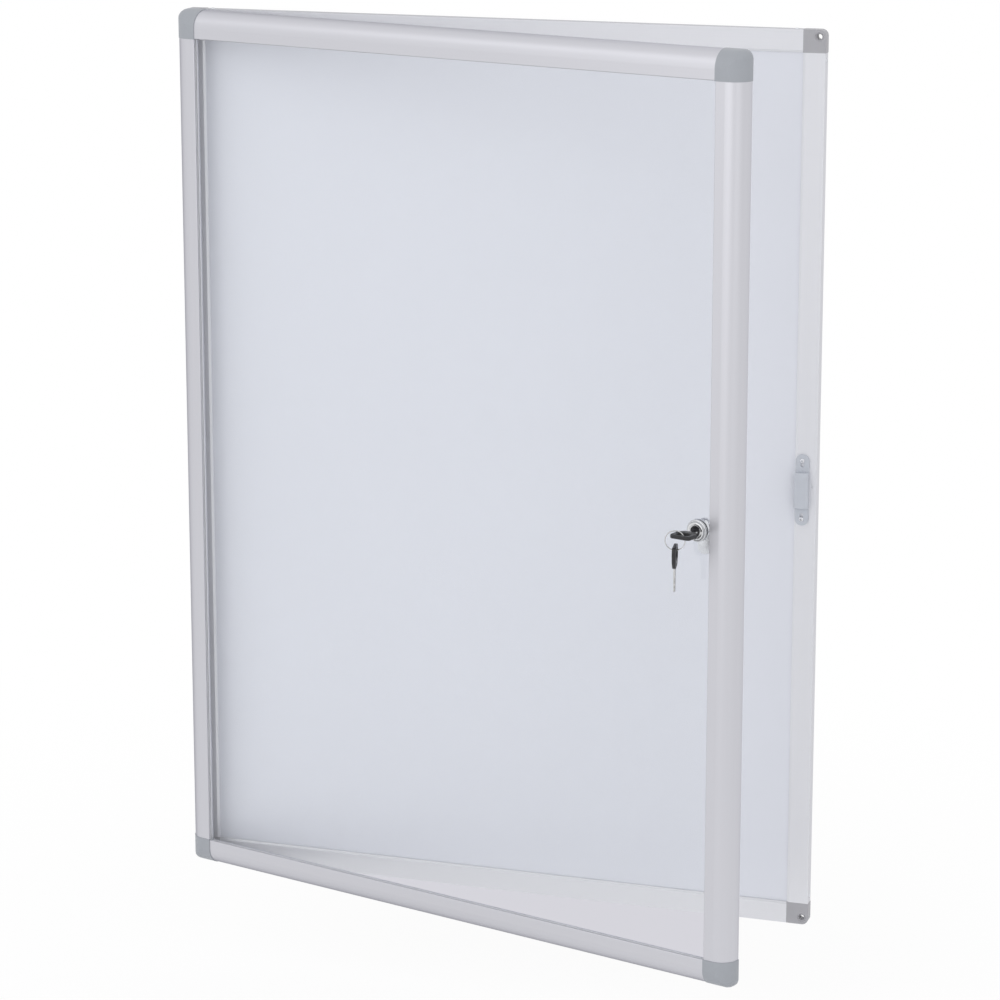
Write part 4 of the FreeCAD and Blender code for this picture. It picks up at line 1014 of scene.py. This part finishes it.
@dataclass
class WallFrame:
    """The frame on the wall with its panel, caps, strike box and screws."""

    finishes: Finishes
    half_width: float = 0.360
    half_height: float = 0.490
    cap_screw_inset: float = 0.032
    cap_screw_line: float = -0.006
    cap_screw: CrossScrew = CrossScrew(2.6 * MM, 0.9 * MM, 1.4 * MM, 7 * MM)
    cap_screw_turn: float = 0.4
    strike_at: Triple = (0.3445, -0.0138, 0.0)
    strike_pitch: float = 0.064
    strike_screw: CrossScrew = CrossScrew(2.55 * MM, 1.5 * MM, 1.4 * MM, 3.6 * MM)
    strike_turns: Pair = (0.5, -0.2)

    def build(self) -> None:
        """Dresses the frame and adds its screws."""
        made = self.finishes
        dress(made.painted_light_rails[Along.UP], "base_hinge_stile", "base_lock_stile")
        dress(made.painted_light_rails[Along.ACROSS], "base_top_rail", "base_bottom_rail")
        dress(made.warm_grey, *["base_cap_" + corner for corner in CORNERS])
        dress(made.pale, "strike_box")
        dress(made.lacquer, "magnetic_panel")
        dress(made.board, "backing_board")
        self.strike_screws()
        self.cap_screws()

    def strike_screws(self) -> None:
        """Makes the two screws of the strike box, turned a little each."""
        x, y, z = self.strike_at
        screws = []
        for number, (side, turn) in enumerate(zip((1, -1), self.strike_turns)):
            place = facing((x, y, z + side * self.strike_pitch / 2), FRONT)
            place @= Matrix.Rotation(turn, 4, "Z")
            name = "strike_screw_%d" % number
            screws.append(self.strike_screw.build(name, place, self.finishes.zinc))
        piece = join("strike_cross_screws", screws)
        settle(piece, "base", "zinc_screw", "strike_screws")

    def cap_screws(self) -> None:
        """Makes the six screws that hold the caps, standing a little out of the outer faces."""
        inset_x = self.half_width - self.cap_screw_inset
        inset_z = self.half_height - self.cap_screw_inset
        spots = []
        for side in (-1, 1):
            for end in (-1, 1):
                spot = (end * inset_x, self.cap_screw_line, side * self.half_height)
                spots.append((spot, UP * side, FRONT))
            spot = (self.half_width, self.cap_screw_line, side * inset_z)
            spots.append((spot, Vector((1, 0, 0)), UP))
        screws = []
        for number, (spot, out, up) in enumerate(spots):
            place = facing(spot, out, up) @ Matrix.Rotation(self.cap_screw_turn * number, 4, "Z")
            screws.append(self.cap_screw.build("cap_screw_%d" % number, place, self.finishes.zinc))
        piece = join("cap_cross_screws", screws)
        settle(piece, "base", "zinc_screw", "base_cap_screws")


@dataclass
class Door:
    """The glazed door: rails, caps, pane and seal strips."""

    finishes: Finishes

    def build(self) -> None:
        """Dresses the door."""
        made = self.finishes
        dress(made.rails[Along.UP], "door_hinge_stile", "door_lock_stile")
        dress(made.rails[Along.ACROSS_DOOR], "door_top_rail", "door_bottom_rail")
        dress(made.grey, *["door_cap_" + corner for corner in CORNERS])
        dress(made.acrylic, "window_pane")
        dress(made.seal, *["glazing_seal_" + side for side in ("left", "right", "top", "bottom")])


@dataclass
class CamLock:
    """The lock in the pane: turned metal, its cam and the cam's screw.

    Heights are measured from the face of the plug. The groove of the front ring is given by how far
    its inner edge, its floor and its outer edge lie outside the flange.
    """

    finishes: Finishes
    face: Matrix
    cam_back: float = -20.7 * MM
    cam_screw: CrossScrew = CrossScrew(3.1 * MM, 1.8 * MM, 1.4 * MM, 2.4 * MM)
    ring_back: float = -4.8 * MM
    ring_front: float = -2.3 * MM
    ring_radius: float = 11.5 * MM
    ring_bore: float = 8.1 * MM
    ring_bevel: float = 1.2 * MM
    ring_groove: Triple = (0.05 * MM, 0.3 * MM, 0.55 * MM)
    ring_break: float = 0.25 * MM
    ring_steps: int = 5
    barrel_back: float = -18.5 * MM
    barrel_radius: float = 8.0 * MM
    bore: float = 6.08 * MM
    head_bore: float = 6.98 * MM
    head_seat: float = -1.2 * MM
    flange_radius: float = 9.3 * MM
    flange_front: float = 0.2 * MM
    flange_round: float = 1.1 * MM
    flange_break: float = 0.15 * MM
    flange_steps: int = 6
    sides: int = 96

    def ring(self) -> bmesh.types.BMesh:
        """Turns the ring on the pane, bevelled and with a shallow groove round the flange.

        Returns:
            The ring about its own axis.
        """
        back, front, outer = self.ring_back, self.ring_front, self.ring_radius
        bevel, broken = self.ring_bevel, self.ring_break
        inside, floor, outside = (self.flange_radius + past for past in self.ring_groove)
        profile = [(self.ring_bore, back), (outer - broken, back), (outer, back + broken)]
        profile += quarter(outer - bevel, front - bevel, bevel, self.ring_steps)
        profile += [(outside, front), (floor, front - broken), (inside, front)]
        profile.append((self.ring_bore, front))
        return lathe(profile, self.sides, hollow=True)

    def housing(self) -> bmesh.types.BMesh:
        """Turns the barrel with its round-edged flange, bored for the plug and its head.

        Returns:
            The housing about its own axis.
        """
        front, rim, turned = self.flange_front, self.flange_radius, self.flange_round
        profile = [(self.bore, self.barrel_back), (self.barrel_radius, self.barrel_back)]
        profile += [(self.barrel_radius, self.ring_front), (rim, self.ring_front)]
        profile += quarter(rim - turned, front - turned, turned, self.flange_steps)
        profile.append((self.head_bore + self.flange_break, front))
        profile.append((self.head_bore, front - self.flange_break))
        profile += [(self.head_bore, self.head_seat), (self.bore, self.head_seat)]
        return lathe(profile, self.sides, hollow=True)

    def build(self) -> None:
        """Dresses the lock and makes its turned pieces and the cam's screw."""
        made = self.finishes
        dress(made.plug, "lock_plug")
        dress(made.zinc, "lock_washer", "lock_nut", "lock_cam")
        dress(made.brass, "lock_wafers")
        mesh = mesh_of("bevelled_ring", self.ring(), self.face)
        settle(new_piece("bevelled_ring", mesh, made.satin), "door", "lock_chrome", "lock_ring")
        mesh = mesh_of("turned_housing", self.housing(), self.face)
        settle(new_piece("turned_housing", mesh, made.chrome), "door", "lock_chrome", "lock_housing")
        place = self.face @ Matrix.Translation((0, 0, self.cam_back)) @ Matrix.Rotation(math.pi, 4, "Y")
        piece = self.cam_screw.build("cam_cross_screw", place, made.zinc)
        settle(piece, "plug", "zinc_screw", "cam_screw")


@dataclass
class FlatKey:
    """A flat key with a milled blade and a moulded bow. Its shoulder lies at z = 0.

    The fields from mill_at to mill_ends are shares: of the blade's half width, of its thickness, and
    of the neck, in which the milled groove runs out.
    """

    finishes: Finishes
    blade_half: float = 3.3 * MM
    blade_thick: float = 1.8 * MM
    blade_depth: float = 17.0 * MM
    edge_break: float = 0.18 * MM
    point_taper: float = 1.9 * MM
    point_cheek: float = 0.4 * MM
    point_length: float = 1.0 * MM
    first_cut: float = 2.6 * MM
    cut_pitch: float = 2.8 * MM
    cut_mouth: float = 0.95 * MM
    cut_floor: float = 0.25 * MM
    cuts: tuple[float, ...] = (0.7 * MM, 1.1 * MM, 0.5 * MM, 1.1 * MM, 0.8 * MM)
    mill_at: float = 0.28
    mill_half: float = 0.16
    mill_deep: float = 0.3
    mill_ends: Pair = (0.6, 0.7)
    shoulder_step: float = 0.02 * MM
    neck: float = 8.7 * MM
    neck_half: float = 4.2 * MM
    tang: float = 4.9 * MM
    bow_half: float = 12.0 * MM
    bow_length: float = 22.8 * MM
    bow_thick: float = 4.0 * MM
    rim: float = 4.0 * MM
    bow_neck: float = 6.5 * MM
    bow_shoulder: float = 7.0 * MM
    bow_round: float = 4.0 * MM
    bow_steps: int = 8
    eye: Pair = (7.0 * MM, 4.5 * MM)
    eye_steps: int = 16
    bead: float = 0.55 * MM
    bead_out: float = 1.4 * MM
    bead_sunk: float = 0.15 * MM
    bead_sides: int = 8
    edge: float = 0.95 * MM
    edge_steps: int = 3
    seam: float = 0.02 * MM

    def section(self, half: float, height: float, milled: bool) -> list[Vector]:
        """Draws one section of the blade.

        Args:
            half: its half width.
            height: where it lies along the key.
            milled: whether each face has its milled groove there.

        Returns:
            The points of the section.
        """
        side, nick, span = self.blade_thick / 2, self.edge_break, self.blade_half
        low, high = (self.mill_at - self.mill_half) * span, (self.mill_at + self.mill_half) * span
        deep = side * (1 - self.mill_deep * 2) if milled else side
        front = [(-half, side - nick), (-half + nick, side), (low, side), (low + nick, deep)]
        front += [(high - nick, deep), (high, side), (half - nick, side), (half, side - nick)]
        points = front + [(-x, -y) for x, y in front]
        return [Vector((x, y, height)) for x, y in points]

    def blade(self) -> bmesh.types.BMesh:
        """Lofts the blade from its point to the end of the tang inside the bow.

        Returns:
            The blade along the key's own z.
        """
        full, floor, mouth = self.blade_half, self.cut_floor, self.cut_mouth
        shapes = [(full - self.point_taper, -self.blade_depth, False)]
        shapes.append((full - self.point_cheek, -self.blade_depth + self.point_length, True))
        for number, bite in reversed(list(enumerate(self.cuts))):
            middle = -(self.first_cut + self.cut_pitch * number)
            steps = ((full, -mouth), (full - bite, -floor), (full - bite, floor), (full, mouth))
            shapes += [(half, middle + offset, True) for half, offset in steps]
        shapes += [(full, -self.shoulder_step, True), (self.neck_half, 0.0, True)]
        for share, milled in zip(self.mill_ends, (True, False)):
            shapes.append((self.neck_half, self.neck * share, milled))
        shapes.append((self.neck_half, self.neck + self.tang, False))
        return loft([self.section(*shape) for shape in shapes])

    def eye_end(self) -> float:
        """Distance from the shoulder to the far end of the eye."""
        return self.neck + self.bow_length - self.rim

    def outline(self) -> list[Pair]:
        """Draws the bow's outer line.

        Returns:
            The points of the line.
        """
        low, high = self.neck, self.neck + self.bow_length
        half, turned = self.bow_half, self.bow_round
        right = [(self.bow_neck, low), (half, low + self.bow_shoulder)]
        right += quarter(half - turned, high - turned, turned, self.bow_steps)
        return right + [(-across, up) for across, up in reversed(right)]

    def eye_line(self, wider: float = 0.0) -> list[Pair]:
        """Draws the line of the eye for the ring.

        Args:
            wider: how far outside the eye the line lies.

        Returns:
            The points of the line.
        """
        reach, radius = self.eye[0] - self.eye[1], self.eye[1]
        middle = self.eye_end() - radius
        points = []
        for side in (1, -1):
            for step in range(self.eye_steps + 1):
                angle = -math.pi / 2 + math.pi * step / self.eye_steps
                across = reach + (radius + wider) * math.cos(angle)
                points.append((side * across, middle + side * (radius + wider) * math.sin(angle)))
        return points

    def eye_beads(self) -> bmesh.types.BMesh:
        """Makes the raised beads that run round the eye on both faces.

        Returns:
            The two beads.
        """
        work = bmesh.new()
        for side in (1, -1):
            height = side * (self.bow_thick / 2 - self.bead_sunk)
            line = [Vector((x, y, height)) for x, y in self.eye_line(self.bead_out)]
            bead = tube(line, self.bead, self.bead_sides, closed=True)
            mesh = bpy.data.meshes.new("bead")
            bead.to_mesh(mesh)
            bead.free()
            work.from_mesh(mesh)
            bpy.data.meshes.remove(mesh)
        return work

    def bow(self, name: str, place: Matrix) -> bpy.types.Mesh:
        """Moulds the bow with rounded edges and its eye.

        Args:
            name: the mesh's name.
            place: the key's own place.

        Returns:
            The bow in its place.
        """
        curve = bpy.data.curves.new(name, "CURVE")
        curve.dimensions = "2D"
        curve.fill_mode = "BOTH"
        curve.extrude = self.bow_thick / 2 - self.edge
        curve.bevel_depth = self.edge
        curve.bevel_resolution = self.edge_steps
        curve.offset = -self.edge
        for line in (self.outline(), self.eye_line()):
            spline = curve.splines.new("POLY")
            spline.points.add(len(line) - 1)
            for point, (x, y) in zip(spline.points, line):
                point.co = (x, y, 0, 1)
            spline.use_cyclic_u = True
        holder = bpy.data.objects.new(name, curve)
        bpy.context.scene.collection.objects.link(holder)
        bpy.context.view_layer.update()
        evaluated = holder.evaluated_get(bpy.context.evaluated_depsgraph_get())
        mesh = bpy.data.meshes.new_from_object(evaluated)
        bpy.data.objects.remove(holder)
        work = self.eye_beads()
        work.from_mesh(mesh)
        bpy.data.meshes.remove(mesh)
        bmesh.ops.remove_doubles(work, verts=work.verts, dist=self.seam)
        bmesh.ops.recalc_face_normals(work, faces=work.faces)
        stand = Matrix(((1, 0, 0, 0), (0, 0, -1, 0), (0, 1, 0, 0), (0, 0, 0, 1)))
        return mesh_of(name, work, place @ stand)

    def build(self, prefix: str, place: Matrix, body: str) -> None:
        """Makes one key.

        Args:
            prefix: what the key's CAD nodes are called before _blade and _bow.
            place: the key's own place, z from the blade to the bow and y across its face.
            body: the body that it rides on.
        """
        name = prefix + "_milled_blade"
        blade = new_piece(name, mesh_of(name, self.blade(), place), self.finishes.nickel)
        settle(blade, body, "key_steel", prefix + "_blade")
        name = prefix + "_moulded_bow"
        bow = new_piece(name, self.bow(name, place), self.finishes.black)
        settle(bow, body, "key_plastic", prefix + "_bow")


@dataclass
class SplitRing:
    """A ring of wire wound twice round, with a short step where it changes layer."""

    finishes: Finishes
    hung: Matrix
    drop: float = 5.7 * MM
    radius: float = 10.175 * MM
    inside: float = 9.6 * MM
    wire: float = 0.5 * MM
    wire_sides: int = 14
    chords: int = 220
    layer: float = 0.42 * MM
    step_turn: float = math.radians(38)
    start: float = math.radians(200)
    opening: float = math.radians(6)
    spare_play: float = 0.45 * MM

    def lowest_inside(self) -> float:
        """How far the rim of the spare key's eye lies below the point that the ring hangs from."""
        return self.drop + self.inside - self.spare_play

    def path(self) -> list[Vector]:
        """Winds the wire's middle line round its centre, from a little past the bottom.

        Returns:
            The points of the line.
        """
        turns = 2 * math.tau - self.opening
        points = []
        for index in range(self.chords + 1):
            turn = turns * index / self.chords
            share = min(max((turn - (math.tau - self.step_turn)) / self.step_turn, 0.0), 1.0)
            rise = self.layer * (2 * share * share * (3 - 2 * share) - 1)
            angle = turn + self.start
            across, up = self.radius * math.cos(angle), self.radius * math.sin(angle)
            points.append(Vector((across, up, rise)))
        return points

    def build(self) -> None:
        """Makes the ring."""
        name = "double_wound_ring"
        place = self.hung @ Matrix.Translation((0, -self.drop, 0))
        mesh = mesh_of(name, tube(self.path(), self.wire, self.wire_sides), place)
        settle(new_piece(name, mesh, self.finishes.nickel), "ring", "key_steel", "split_ring")


# Studio


def hang(
    name: str, thing: Union[bpy.types.Camera, bpy.types.Light], spot: Triple, ahead: Vector
) -> bpy.types.Object:
    """Puts a camera or lamp in the scene.

    Args:
        name: its name.
        thing: the camera or light.
        spot: where it stands.
        ahead: which way it looks.

    Returns:
        The camera or lamp in its place.
    """
    holder = bpy.data.objects.new(name, thing)
    bpy.context.scene.collection.objects.link(holder)
    holder.location = spot
    holder.rotation_euler = ahead.to_track_quat("-Z", "Y").to_euler()
    return holder


@dataclass(frozen=True)
class Lamp:
    """One soft lamp: where it stands, its width and height, its watts and what it points at."""

    name: str
    spot: Triple
    size: Pair
    power: float
    aim: Triple = (0.0, 0.0, 0.0)

    def build(self) -> None:
        """Makes the lamp and puts it up."""
        light = bpy.data.lights.new(self.name, "AREA")
        light.shape = "RECTANGLE"
        light.size, light.size_y = self.size
        light.energy = self.power
        hang(self.name, light, self.spot, Vector(self.aim) - Vector(self.spot))


@dataclass
class Studio:
    """Pale floor, white surroundings, soft lamps and the camera.

    The camera's focal length, centre and picture width are in pixels of the photograph.
    """

    floor_at: float = -0.62
    floor_half: float = 14.0
    floor_matt: Triple = (0.9, 0.9, 0.9)
    fade: Pair = (-1.2, 1.6)
    white_share: Pair = (0.6, 1.0)
    eye_at: Triple = (1.1526, -3.5001, 0.8751)
    yaw: float = 0.3178
    pitch: float = 0.2233
    focal: float = 3442.86
    centre_down: float = 430.0
    picture: float = 1000.0
    sensor: float = 36.0
    clip: Pair = (0.05, 60.0)
    white: Triple = (1.0, 1.0, 1.0)
    behind_glass: Triple = (0.675, 0.665, 0.715)
    surround: Triple = (0.90, 0.90, 0.91)
    lamps: tuple[Lamp, ...] = (
        Lamp("key", (-0.8, -3.1, 1.2), (2.8, 3.2), 15.0),
        Lamp("side", (2.3, -2.8, 1.2), (1.8, 3.0), 5.5),
        Lamp("upper", (-1.9, -1.5, 2.5), (1.6, 1.2), 2.0, (0.0, 0.0, 0.3)),
        Lamp("back", (0.0, 3.2, 2.2), (2.4, 2.4), 6.0),
    )

    def camera(self) -> None:
        """Sets the camera at the photograph's angle."""
        lens = bpy.data.cameras.new("camera")
        lens.sensor_width = self.sensor
        lens.lens = self.focal * self.sensor / self.picture
        lens.shift_y = (self.centre_down - self.picture / 2) / self.picture
        lens.clip_start, lens.clip_end = self.clip
        flat = math.cos(self.pitch)
        ahead = Vector((-math.sin(self.yaw) * flat, math.cos(self.yaw) * flat, -math.sin(self.pitch)))
        bpy.context.scene.camera = hang("camera", lens, self.eye_at, ahead)

    def seen_through(self, paint: Painter) -> Field:
        """1 where the background is looked at through the pane, and 0 elsewhere."""
        return paint.ray("Transparent Depth").math("GREATER_THAN", 0.5) * paint.ray("Is Camera Ray")

    def looked_at(self, paint: Painter) -> Field:
        """Tells the rays that look at the surroundings, directly or in metal and glass.

        Args:
            paint: the painter of the surroundings.

        Returns:
            1 for those rays, and 0 for others.
        """
        seen = paint.ray("Is Camera Ray")
        for kind in ("Is Glossy Ray", "Is Transmission Ray"):
            seen = seen.math("MAXIMUM", paint.ray(kind))
        return seen

    def world(self) -> None:
        """Makes even white surroundings, a little greyer where they are seen through the pane."""
        paint = Painter("studio", world=True)
        colour = paint.blend(self.seen_through(paint), self.white, self.behind_glass)
        bright = paint.node("ShaderNodeBackground", {}, {"Color": colour})
        soft = paint.node("ShaderNodeBackground", {}, {"Color": (*self.surround, 1)})
        values = [self.looked_at(paint), soft.outputs[0], bright.outputs[0]]
        bpy.context.scene.world = paint.surface(paint.node("ShaderNodeMixShader", {}, values))

    def floor(self) -> None:
        """Makes a wide pale floor that melts into the background and keeps the shadow."""
        work = bmesh.new()
        bmesh.ops.create_grid(work, x_segments=1, y_segments=1, size=self.floor_half)
        mesh = mesh_of("floor", work, Matrix.Translation((0, 0, self.floor_at)))
        paint = Painter("floor")
        through = self.seen_through(paint)
        matt = paint.node("ShaderNodeBsdfDiffuse", {}, {"Color": (*self.floor_matt, 1)})
        colour = paint.blend(through, self.white, self.behind_glass)
        glow = paint.node("ShaderNodeEmission", {}, {"Color": colour})
        away = paint.node("ShaderNodeVectorMath", {"operation": "LENGTH"}, [paint.here()])
        far = Field(paint, away.outputs["Value"]).ramp(*self.fade).span(*self.white_share)
        share = (self.looked_at(paint) * far).math("MAXIMUM", through)
        mixed = paint.node("ShaderNodeMixShader", {}, [share, matt.outputs[0], glow.outputs[0]])
        new_piece("floor", mesh, paint.surface(mixed))

    def build(self) -> None:
        """Sets the whole studio."""
        bpy.context.scene.view_settings.view_transform = "Standard"
        self.camera()
        self.world()
        self.floor()
        for lamp in self.lamps:
            lamp.build()


def joint(name: str) -> dict[str, Any]:
    """The record of one joint."""
    return next(entry for entry in frame["joints"] if entry["name"] == name)


def main() -> None:
    """Builds the board's looks in order."""
    logging.basicConfig(level=logging.INFO, format="%(message)s")
    turn = joint("lock_turn")
    out = Vector(turn["axis"])
    face = facing(turn["pos_m"], out)
    hung_at = Vector(joint("ring_hang")["pos_m"])
    along_wire = -Vector(joint("spare_key_swing")["axis"])
    ring_out = along_wire.cross(UP)
    finishes = Finishes(Vector(turn["pos_m"]), out)
    WallFrame(finishes).build()
    Door(finishes).build()
    CamLock(finishes, face).build()
    key = FlatKey(finishes)
    key.build("key", face, "key")
    ring = SplitRing(finishes, facing(hung_at, ring_out))
    ring.build()
    spare = Matrix((-ring_out, along_wire, UP)).transposed().to_4x4()
    spot = hung_at - UP * (ring.lowest_inside() + key.eye_end())
    key.build("spare_key", Matrix.Translation(spot) @ spare, "spare_key")
    Studio().build()


if __name__ == "__main__":
    main()
